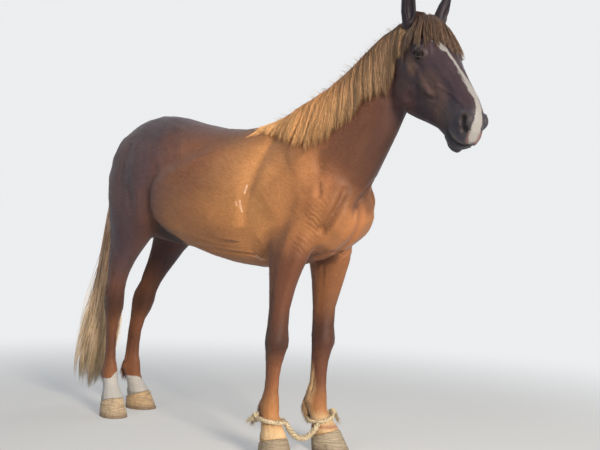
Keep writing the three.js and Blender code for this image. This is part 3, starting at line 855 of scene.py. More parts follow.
# A colour, its share, its radius and its places in millimetres, given for the left side and mirrored.
BODY_TONES = [
    # Painted sunlight: the golden tones on the lower ribs, behind the shoulder, on the shoulder, the breast
    # and the belly.
    (GOLDEN, 0.38, 280, [(50, 250, 980), (-300, 250, 980)]),  # lower ribs
    (GOLDEN, 0.90, 220, [(100, 250, 1100), (120, 200, 1320)]),  # ribs behind the shoulder
    (GOLDEN, 0.55, 240, [(340, 200, 1200), (250, 200, 1000)]),  # shoulder
    (GOLDEN, 0.45, 130, [(550, 90, 1030), (500, 100, 950)]),  # breast
    (GOLDEN, 0.50, 160, [(50, 100, 850), (-450, 100, 900)]),  # belly
    # Painted shade with a painted bluish sky reflection on the back, croup, quarters, hip, upper ribs, thigh
    # and gaskin.
    (PAINTED_SHADE, 0.90, 280, [(-50, 0, 1560), (-600, 0, 1580)]),  # back and croup
    (PAINTED_SHADE, 0.78, 360, [(-820, 200, 1320), (-760, 200, 980)]),  # quarters
    (PAINTED_SHADE, 0.80, 260, [(-540, 200, 1420), (-540, 220, 1220)]),  # hip
    (PAINTED_SHADE, 0.25, 260, [(-320, 250, 1260), (-50, 250, 1300)]),  # upper ribs
    (PAINTED_SHADE, 0.74, 200, [(-700, 150, 950), (-720, 150, 740)]),  # thigh and gaskin
    # Painted shade under the neck, and on its side a painted shadow of the head over the neck's own darker
    # colour.
    (DARK, 0.95, 250, [(670, 60, 1260), (790, 40, 1420)]),  # under the neck
    (LIVER, 0.70, 200, [(580, 120, 1380), (700, 80, 1500)]),  # side of the neck
    (LIVER, 0.70, 160, [(340, 150, 840), (330, 140, 600)]),  # forearm
    # Painted shade in the shoulder's groove, the crease at the foot of the neck, the armpit, the groin and
    # the fold of the flank.
    (LIVER, 0.50, 26, [(582, 106, 1100), (549, 136, 1003), (497, 140, 958)]),  # shoulder groove
    (LIVER, 0.60, 34, [(635, 30, 1190), (603, 20, 1105), (600, 50, 1060)]),
    (LIVER, 0.60, 55, [(300, 70, 800), (360, 60, 810)]),  # armpit
    (LIVER, 0.95, 160, [(-500, 100, 920), (-600, 50, 840)]),  # groin
    (SHADE_BLACK, 0.90, 90, [(-490, 130, 930), (-440, 90, 885)]),
    (LIVER, 0.55, 45, [(-440, 240, 1240), (-495, 240, 1070), (-530, 200, 980)]),  # fold of the flank
]

# The same on one side only.
SINGLE_TONES = [
    (GOLDEN, 0.22, 150, [(360, 130, 840), (330, 130, 660)]),  # left forearm
    (LIVER, 0.72, 160, [(340, -150, 780), (330, -140, 600)]),  # right forearm
    (DARK, 0.80, 110, [(320, 140, 530), (320, 140, 450)]),  # left knee
    (SUNLIT, 0.55, 60, [(175, -240, 1040), (205, -240, 900)]),  # painted sunlight behind the right elbow
    # Painted shade under the throat, in the crease at the foot of the neck and in the folds of both armpits.
    (DARK, 0.85, 170, [(740, 30, 1240), (800, 20, 1380)]),  # under the throat
    (DARK, 0.75, 24, [(630, 60, 1190), (600, 22, 1125), (599, -34, 1066)]),  # foot of the neck
    (DARK, 0.75, 26, [(320, 73, 820), (396, 85, 842), (471, 50, 878)]),  # left armpit
    (DARK, 0.70, 22, [(300, -75, 800), (350, -80, 830), (420, -60, 862)]),
]

# The same in the head's own frame, as s, y and n.
FACE_TONES = [
    (LIVER, 0.40, 100, [(100, 80, -200), (220, 60, -200)]),  # jaw
    (TAN, 0.32, 36, [(205, 100, -75), (165, 110, -60)]),
    (TAN, 0.14, 66, [(300, 70, -60), (370, 60, -75)]),
    (TAN, 0.16, 55, [(430, 50, -110), (460, 50, -90)]),
    # Painted shade under the facial crest.
    (SHADE_BLACK, 0.45, 26, [(275, 80, -100), (345, 70, -95)]),  # under the facial crest
    # The muzzle's own dark grey skin, made darker and bluer as painted shade.
    (MUZZLE, 0.90, 85, [(560, 30, -35), (550, 30, -125)]),
    (MUZZLE, 0.45, 70, [(470, 40, -60), (480, 30, -130)]),
    (LID_SKIN, 0.90, 29, [(534, 48, -14), (558, 42, -46)]),  # nostril
    # Painted shade inside the nostril.
    (SHADE_BLACK, 0.97, 19, [(535, 34, -18), (556, 30, -45)]),
    (LIP, 0.60, 11, [(518, 45, -104), (548, 43, -100), (574, 28, -93)]),
    # Painted shade along the line of the mouth.
    (SHADE_BLACK, 0.95, 9, [(486, 45, -107), (508, 44, -116), (545, 42, -113),
                          (572, 30, -107), (590, 8, -93)]),  # mouth
    (LID_SKIN, 0.92, 42, [(174, 105, -4), (210, 105, -10)]),  # eye
    (PINK, 0.65, 24, [(582, 14, -48), (588, 12, -70)]),
    # The ears nearly black and bluish, as painted shade.
    (EAR, 1.00, 65, [(15, 78, 30), (-30, 94, 95), (-70, 106, 140)]),  # ears
]

# The face's white in the head's frame: s, y and half its width, in millimetres.
STRIPE = np.array([
    (178, -50, 9), (195, -42, 14), (226, -27, 13), (245, -19, 6),
    (300, -11, 7), (360, -6, 9), (415, -3, 14), (445, 0, 16),
    (480, 2, 12), (530, -2, 13), (560, -8, 20), (590, -11, 18)]) / 1000

# Old scars on the right side, as x and z, and their radius, in millimetres.
SCARS = [
    ([(142, 1146), (133, 1111)], 4.8),
    ([(116, 1078), (118, 1046), (121, 1032)], 5),
    ([(100, 1074), (104, 1058)], 4.4),
    ([(118, 842), (140, 825)], 4.2),
    ([(130, 847), (158, 827)], 4.2),
    ([(-361, 902)], 7),
]
SOCKS = {"hindleg_right": 0.205, "hindleg_left": 0.172}


def scar_at(points, wider=0.0):
    """1 along each old scar, falling to 0 beside it."""
    side_view = np.where(points[:, 1:2] < -0.08, points * [1, 0, 1], UP * 9)
    return np.max([falloff(side_view, [metres((x, 0, z)) for x, z in path], metres(radius) + wider)
                   for path, radius in SCARS], axis=0)


def uneven(points, waves):
    """A smooth uneven value about 0: waves of these lengths, in metres, in chance directions."""
    total = np.zeros(len(points))
    for length in waves:
        way = unit(RANDOM.normal(size=3))
        total += np.sin(points @ way * tau / length + RANDOM.uniform(0, tau))
    return total / np.sqrt(len(waves) / 2)


def tone_at(points):
    """The coat's colour without its white, built up in layers."""
    tone = np.tile(CHESTNUT, (len(points), 1))

    def lay(colour, share):
        tone[:] += (np.array(colour) - tone) * share[:, None]

    mirrored = points * [1, 0, 1] + np.abs(points * [0, 1, 0])
    head = head_share(points)
    for colour, share, radius, path in BODY_TONES:
        lay(colour, share * falloff(mirrored, metres(path), 1.12 * metres(radius), 1.5) * (1 - head))
    for colour, share, radius, path in SINGLE_TONES:
        lay(colour, share * falloff(points, metres(path), metres(radius), 1.5) * (1 - head))
    leg = 1 - smoothstep(0.50, 0.90, points[:, 2])
    fore = points[:, 0] > 0
    joint = np.where(fore, 0.48, 0.57)
    lay(LIVER, 0.30 * leg)
    lay(DARK, 0.92 * np.exp(-((points[:, 2] - joint) / 0.10) ** 2))
    lay(LIVER, 0.75 * np.exp(-((points[:, 2] - 0.36) / 0.11) ** 2) * (~fore | (points[:, 1] > 0)))
    gold = np.where(points[:, 1] > 0, 0.31, 0.35)
    lay(GOLDEN, np.where(points[:, 1] > 0, 0.50, 0.80) * (1 - smoothstep(0.16, gold, points[:, 2])) * fore)
    pale = np.where(points[:, 1] > 0, 0.185, 0.170)
    lay(CREAM, 0.85 * (1 - smoothstep(pale - 0.06, pale, points[:, 2])) * fore)
    rear = middle_of("foreleg_left") * [1, 1, 0] - [0.066, 0.014, 0]
    tendon = [rear + [-0.020, 0, 0.36], rear + UP * 0.26, rear + UP * 0.15]
    lay(CREAM, 0.9 * falloff(points, tendon, 0.050, 1.3))
    coronet = np.exp(-((points[:, 2] - 0.108) / 0.009) ** 2) * fore * (points[:, 1] > 0)
    lay(RUSSET, 0.75 * coronet)
    lay(SCAR, 0.80 * smoothstep(0.1, 0.7, scar_at(points)))
    local = to_head(points)
    local[:, 1] = np.abs(local[:, 1])
    # The whole head is laid darker and bluer than its own brown, as painted shade.
    lay(FACE, 0.97 * head)
    for colour, share, radius, path in FACE_TONES:
        lay(colour, share * falloff(local, metres(path), metres(radius), 1) * head)
    return tone * (1 + 0.10 * uneven(points, [0.31, 0.22, 0.17, 0.13, 0.09, 0.07]))[:, None]


def white_at(points):
    """Metres inside the edge of the white markings, and less than 0 outside them."""
    s, y, n = to_head(points).T
    middle, half = (np.interp(s, STRIPE[:, 0], STRIPE[:, k]) for k in (1, 2))
    face = half - np.abs(y - middle) - 2.0 * np.maximum(0.176 - s, 0) - 0.6 * np.maximum(-0.058 - n, 0)
    white = np.where((head_share(points) > 0.5) & (n > -0.09), face, -0.05)
    for leg, top in SOCKS.items():
        middle = middle_of(leg)
        mine = (np.abs(points[:, 0] - middle[0]) < 0.3) & (points[:, 2] < 0.5)
        mine &= points[:, 1] * leg_side(leg) > 0
        angle = np.arctan2(points[:, 1] - middle[1], points[:, 0] - middle[0])
        jagged = 0.014 * np.sin(3 * angle + 1) + 0.010 * np.sin(7 * angle + 2)
        white = np.where(mine, top + jagged - points[:, 2], white)
    return white


def coat_material(name, skin):
    """Short hair: streaks along its lie, markings with broken edges, and on the skin its bump."""
    m = Shader(name)
    leg, head = m.field("leg"), m.field("head")
    body_streak = m.noise((26, 260, 330), 3, (0, radians(-24), 0))
    leg_streak = m.noise((340, 340, 34), 3)
    head_streak = m.noise((40, 340, 340), 3, (0, -HEAD_PITCH, 0))
    streak = m.add("Mix", {0: leg, 2: body_streak, 3: leg_streak}, 0)
    streak = m.add("Mix", {0: head, 2: streak, 3: head_streak}, 0)
    tint = m.field("tint", "Color")
    dark = m.times(tint, (0.84, 0.80, 0.78))
    bright = m.times(tint, (1.12, 1.14, 1.16))
    hair = m.mix(m.ramp(streak, 0.32, 0.68), dark, bright)
    cloud = m.ramp(m.noise(7, 4), 0.35, 0.75, 0.0, 0.25)
    hair = m.mix(cloud, hair, m.times(hair, (0.70, 0.62, 0.60)))
    broken = m.math("ADD", m.field("white"), m.math("MULTIPLY", m.math("SUBTRACT", streak, 0.5), 0.022))
    white = m.mix(m.noise(90), (0.42, 0.40, 0.38, 1), (0.62, 0.60, 0.57, 1))
    # On the head the white is a dull grey, as painted shade.
    white = m.mix(m.math("MULTIPLY", head, 0.85), white, (0.235, 0.225, 0.225, 1))
    colour = m.mix(m.ramp(broken, -0.0012, 0.0016), hair, white)
    inputs = {"Base Color": colour, "Roughness": 0.60, "Specular IOR Level": 0.27, "Sheen Weight": 0.12,
              "Sheen Roughness": 0.45, "Sheen Tint": (0.74, 0.86, 1.0, 1)}
    if skin:
        fine = m.bump(m.noise(650, 2), 0.0004, 0.6)
        inputs["Normal"] = m.bump(streak, 0.0006, 0.5, fine)
        inputs["Roughness"] = m.ramp(streak, 0.3, 0.7, 0.62, 0.50)
    return m.surface(inputs)


def colour_coat(mesh, places):
    """Gives a mesh the coat's fields, from the place on the skin that each vertex belongs to."""
    give(mesh, "tint", tone_at(places))
    give(mesh, "white", white_at(places))
    give(mesh, "leg", 1 - smoothstep(0.70, 0.95, places[:, 2]))
    give(mesh, "head", head_share(places))


# ---- Strands: hair as tapered three-sided locks -------------------------------------------------

PATCH = 0.003  # each strand's own place on the OFBake map


def strand_mesh(name, paths, thick, places, normals=None):
    """One mesh of many strands. Paths are (strand, step, xyz), and places are their roots on the baking map.

    Strands with normals of their own are shaded as the skin under them is.
    """
    count, steps = paths.shape[:2]
    ahead = unit(np.gradient(paths, axis=1))
    lie = unit(paths[:, -1] - paths[:, 0])
    across = unit(np.cross(lie, RANDOM.normal(size=(count, 3))))
    side = unit(np.cross(ahead, across[:, None]))
    over = np.cross(ahead, side)
    along = np.linspace(0, 1, steps)
    taper = np.interp(along, [0, 0.12, 0.6, 1], [0.7, 1, 0.85, 0.1])
    radius = np.broadcast_to(thick, count)[:, None] * taper
    turn = circle(3)
    ring = side[:, :, None] * np.cos(turn)[:, None] + over[:, :, None] * np.sin(turn)[:, None]
    rings = paths[:, :, None] + ring * radius[:, :, None, None]
    points = np.concatenate([rings[:, :-1].reshape(count, -1, 3), paths[:, -1:]], 1)
    corner, follower = np.arange(3), (np.arange(3) + 1) % 3
    low = (np.arange(steps - 2)[:, None] * 3 + corner).ravel()
    low_next = (np.arange(steps - 2)[:, None] * 3 + follower).ravel()
    last = 3 * (steps - 2)
    one = np.concatenate([
        np.stack([low, low_next, low_next + 3], 1), np.stack([low, low_next + 3, low + 3], 1), [[0, 2, 1]],
        np.stack([last + corner, last + follower, np.full(3, last + 3)], 1)]).astype(int)
    faces = (np.arange(count)[:, None, None] * points.shape[1] + one).reshape(-1, 3)
    mesh = mesh_from(name, points.reshape(-1, 3), faces)
    rounds = np.tile(turn / tau, steps - 1)
    inside = np.stack([np.append(np.repeat(along[:-1], 3), 1), np.append(rounds, 0.5)], 1)
    uv = (np.asarray(places)[:, None] * (1 - PATCH) + inside * PATCH).reshape(-1, 2)
    corners = uv[faces.ravel()].astype(np.float32)
    mesh.uv_layers.new(name="OFBake").data.foreach_set("uv", corners.ravel())
    if normals is not None:
        mesh.shade_smooth()
        mesh.normals_split_custom_set_from_vertices(each_strand(normals, steps).astype(np.float32))
    return mesh


def each_point(values):
    """Values for each strand and step, as values for each point of the strands' mesh."""
    values = np.asarray(values)
    rings = np.repeat(values[:, :-1], 3, axis=1)
    return np.concatenate([rings, values[:, -1:]], 1).reshape(-1, values.shape[-1])


def each_strand(values, steps):
    """A value for each strand, as a value for each point of the strands' mesh."""
    return np.repeat(np.asarray(values), 3 * (steps - 1) + 1, axis=0)


def hair_material(name):
    m = Shader(name)
    tint = m.field("tint", "Color")
    fine = m.noise(260, 2)
    colour = m.mix(m.ramp(fine, 0.3, 0.7), m.times(tint, (0.74, 0.70, 0.66)), tint)
    return m.surface({"Base Color": colour, "Roughness": 0.44, "Specular IOR Level": 0.45,
                      "Normal": m.bump(m.noise((500, 500, 60), 2), 0.0003, 0.5)})


def long_hair(name, paths, thick, places, root, tip, *node):
    """Strands whose colour runs from root to tip, each one a little lighter or darker."""
    count, steps = paths.shape[:2]
    mesh = strand_mesh(name, paths, thick, places)
    along = along_strand(steps)
    vary = 1 + 0.20 * np.clip(RANDOM.normal(size=(count, 1, 1)), -2, 2)
    tint = (np.asarray(root)[..., None, :] * (1 - along) + np.asarray(tip)[..., None, :] * along) * vary
    give(mesh, "tint", each_point(np.broadcast_to(tint, (count, steps, 3))))
    finish_piece(object_from(name, mesh), hair_material(name), "mane", *node)


def wander(paths, size, waves=2.5):
    """Small waves across each strand, none at its root."""
    count, steps = paths.shape[:2]
    along = along_strand(steps)
    start, way = RANDOM.uniform(0, tau, (count, 1, 1)), RANDOM.normal(size=(count, 1, 3))
    return paths + size * along * np.sin(along * waves * tau + start) * way


def eased(paths, rounds=3):
    """Strands with their kinks ironed out. Their ends stay."""
    for _ in range(rounds):
        paths[:, 1:-1] = (paths[:, :-2] + 2 * paths[:, 1:-1] + paths[:, 2:]) / 4
    return paths


def drape(surface, paths, height):
    """Lays paths on the skin, at a height over it for each strand and step."""
    laid = np.empty_like(paths)
    for index in np.ndindex(paths.shape[:2]):
        place, normal = surface.nearest(paths[index])
        laid[index] = place + normal * height[index]
    return laid


def locks(where, width, rough=0.35):
    """Groups strands, by their place along a line: each one's lock, its middle and its share from it."""
    low, high = where.min(), where.max()
    edges = [low]
    while edges[-1] < high:
        edges.append(edges[-1] + width * RANDOM.uniform(1 - rough, 1 + rough))
    edges = np.array(edges)
    own = np.clip(np.searchsorted(edges, where, "right") - 1, 0, len(edges) - 2)
    middle = (edges[own] + edges[own + 1]) / 2
    return own, middle, np.abs(where - middle) / (edges[own + 1] - edges[own]) * 2


# The mane's ends along the crest, in metres, and its lower edge: x and height, in millimetres.
CREST_X = (0.105, 0.866)
MANE_EDGE = np.array([(60, 1405), (140, 1378), (260, 1340), (380, 1308), (455, 1292), (520, 1322),
                      (600, 1400), (660, 1472), (740, 1495), (790, 1530), (815, 1580), (835, 1630)]) / 1000
# The colours of the roots and of the tips, each at the withers and at the poll: the mane's own flaxen and
# chestnut, brighter at the withers as painted sunlight and darker at the poll as painted shade.
MANE_TONES = np.array([[(0.76, 0.365, 0.145), (0.28, 0.155, 0.085)],
                       [(1.0, 0.610, 0.280), (0.46, 0.300, 0.175)]])


def mane(surface, name, loose):
    """One layer of the mane. Looseness is how far the hairs stray from their locks."""
    count = 4300
    steps = 9
    along = np.sort(RANDOM.uniform(0, 1, count))
    x = CREST_X[0] + along * (CREST_X[1] - CREST_X[0])
    middle_y = np.interp(x, [0.4, 0.62, 0.80, 0.87], [0, -0.007, -0.019, -0.034])
    y = middle_y + RANDOM.normal(0, 0.007, count)
    root = np.array([surface.above(*xy) for xy in zip(x, y)]) - [0, 0, 0.003]
    own, lock_x, off = locks(x, 0.021 * (1 + loose))
    spread = RANDOM.normal(0, 1, (own.max() + 1, 3))[own]
    t = np.linspace(0, 1, len(MANE_EDGE))
    swept_back = 0.05 * (1 - smoothstep(0, 0.35, along))
    edge_x = np.interp(along, t, MANE_EDGE[:, 0]) * 0.3 + (lock_x - swept_back) * 0.7
    edge_x += (x - lock_x) * (0.2 + 0.6 * loose)
    edge_x += 0.006 * spread[:, 0] + RANDOM.normal(0, 0.004 * loose, count)
    layer = RANDOM.uniform(0, 1, count) * (1 - 0.35 * loose)
    shorter = (0.28 + 0.22 * loose) * RANDOM.uniform(0, 1, count) ** (2.6 - 1.1 * loose)
    shorter *= 1.9 - 0.9 * smoothstep(0.05, 0.45, along)
    length = 1.02 - 0.10 * off - shorter + 0.045 * spread[:, 1]
    edge_z = np.interp(edge_x, MANE_EDGE[:, 0], MANE_EDGE[:, 1])
    edge_z = root[:, 2] + (edge_z - 0.012 - root[:, 2]) * length
    side_y = np.array([surface.flank(a, b, -1)[1] for a, b in zip(edge_x, edge_z)])
    end = np.stack([edge_x, side_y, edge_z], 1)
    u = along_strand(steps)
    paths = root[:, None] + (end - root)[:, None] * u
    thickness = smoothstep(-0.05, 0.35, along) * (0.004 + 0.011 * layer + 0.004 * (1 - off**2))
    rise = 0.002 + thickness[:, None] * smoothstep(0, 0.25, u[..., 0])
    paths = eased(drape(surface, paths, rise))
    paths[:, 0] = root
    paths[:, 1, 2] += 0.006 * layer
    paths = wander(paths, 0.0014 + 0.0014 * loose)
    thick = RANDOM.uniform(0.0006, 0.0012, count)
    # Towards the poll the colours darken: painted shade there, painted sunlight at the withers.
    neck = smoothstep(0.25, 0.85, along)[:, None]
    lock_tone = 1 + 0.10 * spread[:, 2:3]
    tones = [(withers * (1 - neck) + poll * neck) * lock_tone for withers, poll in MANE_TONES]
    long_hair(name, paths, thick, np.stack([along, layer], 1), *tones, "mane")


def crest_wisps(surface):
    """Loose hairs that stand along the crest."""
    count = 260
    x = RANDOM.uniform(0.12, 0.78, count)
    y = np.interp(x, [0.4, 0.62, 0.80], [0, -0.007, -0.019])
    root = np.array([surface.above(*xy) for xy in zip(x, y)])
    u = along_strand(6)
    reach = RANDOM.uniform(0.012, 0.032, (count, 1, 1))
    lean = np.stack([RANDOM.normal(-0.5, 0.6, count), RANDOM.normal(-0.4, 0.5, count), np.zeros(count)], 1)
    paths = root[:, None] + reach * (u * UP * (1.3 - 0.5 * u) + lean[:, None] * u**2)
    tone = np.array((0.44, 0.25, 0.11))
    long_hair("crest_wisps", paths, 0.0005, np.stack([x, y + 0.5], 1), tone, tone * 1.2)


# Where the forelock ends, from behind the right eye to the left brow: s, y and n, in millimetres.
FORELOCK_END = np.array([
    (150, -92, -105), (142, -100, -55), (166, -104, -5), (194, -98, 22),
    (208, -86, 38), (214, -66, 50), (208, -44, 58), (232, -14, 60),
    (262, 15, 58), (266, 38, 50), (230, 64, 36), (180, 88, 20)]) / 1000


def forelock(surface):
    """Locks that rise over the poll and fall on the forehead."""
    count = 3400
    steps = 9
    along = np.sort(RANDOM.uniform(0, 1, count))
    own, lock, off = locks(along, 0.036, 0.6)
    spread = RANDOM.normal(0, 1, (own.max() + 1, 3))[own]
    t = np.linspace(0, 1, len(FORELOCK_END))
    aim = lock + (along - lock) * 0.60 + 0.016 * spread[:, 0] + RANDOM.normal(0, 0.012, count)
    end = np.stack([np.interp(aim, t, FORELOCK_END[:, k]) for k in range(3)], 1)
    root_s = RANDOM.uniform(-0.022, 0.030, count)
    root_y = (along - 0.5) * 0.090 + RANDOM.normal(0, 0.004, count)
    root = np.stack([root_s, root_y, np.full(count, 0.05)], 1)
    length = 1.02 - 0.08 * off - 0.60 * RANDOM.uniform(0, 1, count) ** 1.4 + 0.09 * spread[:, 1]
    end = root + (end - root) * length[:, None]
    u = along_strand(steps)
    paths = root[:, None] * (1 - u) + end[:, None] * u
    layer = RANDOM.uniform(0, 1, count)
    thickness = 0.004 + 0.010 * layer + 0.004 * (1 - off**2)
    over_poll = np.sin(pi * np.minimum(u[..., 0] * 1.6, 1)) * ((1 - (2 * along - 1) ** 2) ** 0.7)[:, None]
    rise = -0.002 + thickness[:, None] * smoothstep(0, 0.22, u[..., 0])
    rise += (0.030 + 0.012 * layer)[:, None] * over_poll
    paths = wander(eased(drape(surface, from_head(paths), rise)), 0.0018)
    lock_tone = np.clip(1 + 0.20 * spread[:, 2:3], 0.55, 1.5)
    # Dark brown, as painted shade over the forelock's own colour.
    tones = [np.array(tone) * lock_tone for tone in ((0.110, 0.060, 0.045), (0.225, 0.148, 0.102))]
    thick = RANDOM.uniform(0.0005, 0.0010, count)
    long_hair("forelock_locks", paths, thick, np.stack([along, layer], 1), *tones, "forelock")


# The tail in millimetres: height, middle x, half its depth and width, and middle y.
TAIL = np.array([
    (1425, -880, 26, 26, 0), (1395, -930, 30, 31, 0), (1330, -975, 36, 38, 0),
    (1200, -1008, 46, 50, 0), (1000, -1035, 56, 67, 0), (800, -1062, 66, 84, 0),
    (600, -1085, 75, 102, -4), (434, -1106, 81, 114, -8), (289, -1134, 79, 113, -10),
    (150, -1168, 59, 88, -10), (62, -1192, 30, 42, -10)]) / 1000


def in_tail(height, ahead, side):
    """A place in the tail, by height and by its shares of the tail's depth and width."""
    row = [np.interp(height, TAIL[::-1, 0], TAIL[::-1, k]) for k in range(1, 5)]
    return np.stack([row[0] + row[1] * ahead, row[3] + row[2] * side, height], -1)


def tail(name):
    """Half of the tail's hair, in locks that part towards their tips."""
    count = 2900
    steps = 12
    lock_count = 64
    lock_turn = RANDOM.uniform(0, tau, lock_count)
    lock_out = np.sqrt(RANDOM.uniform(0.05, 0.95, lock_count))
    own = RANDOM.integers(0, lock_count, count)
    turn = RANDOM.uniform(0, tau, count)
    out = np.sqrt(RANDOM.uniform(0.30, 1, count))
    start = 1.425 - 0.30 * RANDOM.uniform(0, 1, count) ** 1.3
    lock_end = 0.070 + 0.36 * lock_out[own] ** 2.4 * RANDOM.uniform(0.1, 1, lock_count)[own]
    end = lock_end + 0.30 * RANDOM.uniform(0, 1, count) ** 2.6
    u = along_strand(steps)[..., 0]
    height = start[:, None] + (end - start)[:, None] * u
    pull = smoothstep(0.15, 1.0, u) * 0.93
    filled = 0.55 + 0.38 * smoothstep(0, 0.10, u)

    def across(wave):
        """A share of the tail's depth or width, from the hair's own place towards its lock's."""
        own_place, lock_place = out * wave(turn), (lock_out * wave(lock_turn))[own]
        return (own_place[:, None] * (1 - pull) + lock_place[:, None] * pull) * filled

    paths = in_tail(height, across(np.cos), across(np.sin))
    curl = RANDOM.uniform(0, tau, lock_count)[own][:, None]
    paths[..., 0] += 0.008 * np.sin(u * 7 + curl) * smoothstep(0.35, 0.9, u)
    paths[..., 1] += 0.009 * np.sin(u * 6 + 2 * curl) * smoothstep(0.35, 0.9, u)
    flare = (RANDOM.uniform(0, 1, lock_count) ** 1.6)[own][:, None] * smoothstep(0.45, 1.0, u) ** 1.5
    paths[..., 0] -= 0.050 * flare
    paths[..., 1] -= 0.030 * flare * np.cos(curl)
    loose = RANDOM.uniform(0, 1, (count, 1, 1)) ** 5
    paths = wander(paths, 0.0022 + 0.010 * loose, 1.5)
    lock_tone = (1 + 0.20 * np.clip(RANDOM.normal(size=lock_count), -1.5, 1.5))[own][:, None]
    tones = [np.array(tone) * lock_tone for tone in ((0.88, 0.540, 0.370), (1.15, 0.960, 0.680))]
    thick = RANDOM.uniform(0.0011, 0.0020, count)
    places = np.stack([turn / tau, (1.43 - start) / 0.31], 1)
    long_hair(name, paths, thick, places, *tones, "tail")


def dock():
    """The tail's own fleshy root, inside the hair."""
    rings, around = 14, 20
    height = np.linspace(1.435, 1.08, rings)[:, None]
    share = np.linspace(0.80, 0.30, rings)[:, None]
    share[-1] = 0.02
    turn = circle(around)
    points = in_tail(height + 0 * turn, share * np.cos(turn), share * np.sin(turn))
    points[..., 1] -= np.interp(height, TAIL[::-1, 0], TAIL[::-1, 4])
    obj = object_from("tail_dock", mesh_from("tail_dock", points.reshape(-1, 3), tube_faces(rings, around)))
    give(obj.data, "tint", np.tile((0.22, 0.12, 0.06), (rings * around, 1)))
    finish_piece(obj, hair_material("dock"), "mane")


# ---- The short coat: tufts that lie along the skin ----------------------------------------------

def lie_of_hair(points):
    """The way the hair grows: back and down on the body, down the legs, towards the lips on the face."""
    x, _, z = points.T
    back = np.stack([-np.ones_like(x), 0 * x, -0.45 - 0.5 * smoothstep(0.1, 0.5, x)], 1)
    down = np.stack([-0.12 + 0 * x, 0 * x, -np.ones_like(x)], 1)
    leg = (1 - smoothstep(0.75, 1.0, z))[:, None]
    head = head_share(points)[:, None]
    ear = smoothstep(1.74, 1.78, z)[:, None] * head
    way = unit(back) * (1 - leg) + down * leg
    way = way * (1 - head) + HEAD_AXES[0] * head
    return unit(way * (1 - ear) + UP * ear)


def scattered(mesh, count, weight):
    """Chance places on a mesh, by area times a weight, and the skin's normals there."""
    points, normals, tris = points_of(mesh), normals_of(mesh), triangles_of(mesh)
    a, b, c = (points[tris[:, k]] for k in range(3))
    area = np.linalg.norm(np.cross(b - a, c - a), axis=1) * weight((a + b + c) / 3)
    own = RANDOM.choice(len(tris), count, p=area / area.sum())
    u, v = np.sqrt(RANDOM.uniform(0, 1, count)), RANDOM.uniform(0, 1, count)
    shares = np.stack([1 - u, u * (1 - v), u * v], 1)[..., None]
    corners = tris[own]
    return (points[corners] * shares).sum(1), unit((normals[corners] * shares).sum(1))


def unwrapped(points):
    """Each place's own place on the unwrap: the body, the head and the four legs side by side."""
    x, y, z = points.T
    s, side, n = to_head(points).T
    body = np.stack([(x + 1.0) / 2.0, np.arctan2(y, z - 1.15) / tau + 0.5], 1)
    head = np.stack([(s + 0.2) / 0.85, np.arctan2(side, n + 0.06) / tau + 0.5], 1)
    leg_x = np.where(x > 0, 0.32, -0.84 + 0.05 * np.sign(y))
    leg = np.stack([z, np.arctan2(np.abs(y) - 0.14, x - leg_x) / tau + 0.5], 1)
    quarter = np.stack([np.where(x > 0, 0.5, 0.0), np.where(y > 0, 0.5, 0.0)], 1)
    is_head = (head_share(points) > 0.5)[:, None]
    is_leg = (z < 0.8)[:, None]
    place = np.where(is_head, head * [0.25, 0.5] + [0.72, 0.0], body * [0.70, 1.0])
    leg = leg * [0.13, 0.24] + quarter * [0.28, 0.5] + [0.72, 0.25]
    return np.clip(np.where(is_leg, leg, place), 0, 1)


def tufts(name, skin, count, weight, length, thick, lift):
    """Short straight hairs along the skin, shaded as the skin under them is."""
    root, normal = scattered(skin.data, count, weight)
    way = lie_of_hair(root) + RANDOM.normal(0, 0.12, (count, 3))
    way = unit(way - normal * np.einsum("ij,ij->i", way, normal)[:, None])
    size = (length(root) * RANDOM.uniform(0.75, 1.2, count))[:, None]
    tip = root + (way * np.cos(lift) + normal * np.sin(lift)) * size
    paths = np.stack([root - normal * 0.0004, tip], 1)
    mesh = strand_mesh(name, paths, thick, unwrapped(root), normal)
    colour_coat(mesh, each_strand(root, 2))
    finish_piece(object_from(name, mesh), COAT, "coat")


def fringe(name, root, normal, way, length, thick, steps=5):
    """Longer hairs that leave the skin along their way and then droop."""
    u = along_strand(steps)
    reach = length[:, None, None] * (unit(way)[:, None] * u - 0.3 * UP * u**2)
    paths = wander(root[:, None] - normal[:, None] * 0.001 + reach, 0.001)
    mesh = strand_mesh(name, paths, thick, unwrapped(root))
    colour_coat(mesh, each_strand(root, steps))
    finish_piece(object_from(name, mesh), COAT, "coat")


def feathers(skin, surface):
    """Long hair behind each fetlock, longest on the left foreleg, and short hair over the hooves."""
    def behind(p):
        backs = ([on_leg(surface, leg, 180, z) for z in (0.235, 0.185)] for leg in LEGS)
        return sum(falloff(p, back, 0.030) for back in backs)

    def behind_left(p):
        return falloff(p, [on_leg(surface, "foreleg_left", 178, z) for z in (0.275, 0.22, 0.17)], 0.030)

    def over_hoof(p):
        return ((p[:, 2] < 0.112) & (p[:, 2] > 0.05)).astype(float)

    rearward = np.array([-1.0, 0, 0])
    for name, count, where, out, back, reach, thick in (
            ("feather", 2400, behind, 0.35, 0.35, (0.020, 0.042), 0.00045),
            ("long_feather", 1800, behind_left, 0.22, 0.25, (0.026, 0.055), 0.00042),
            ("coronet_hair", 3600, over_hoof, 0.35, 0, (0.009, 0.019), 0.0006)):
        root, normal = scattered(skin.data, count, where)
        way = normal * out + rearward * back - UP
        fringe(name, root, normal, way, RANDOM.uniform(*reach, count), thick)


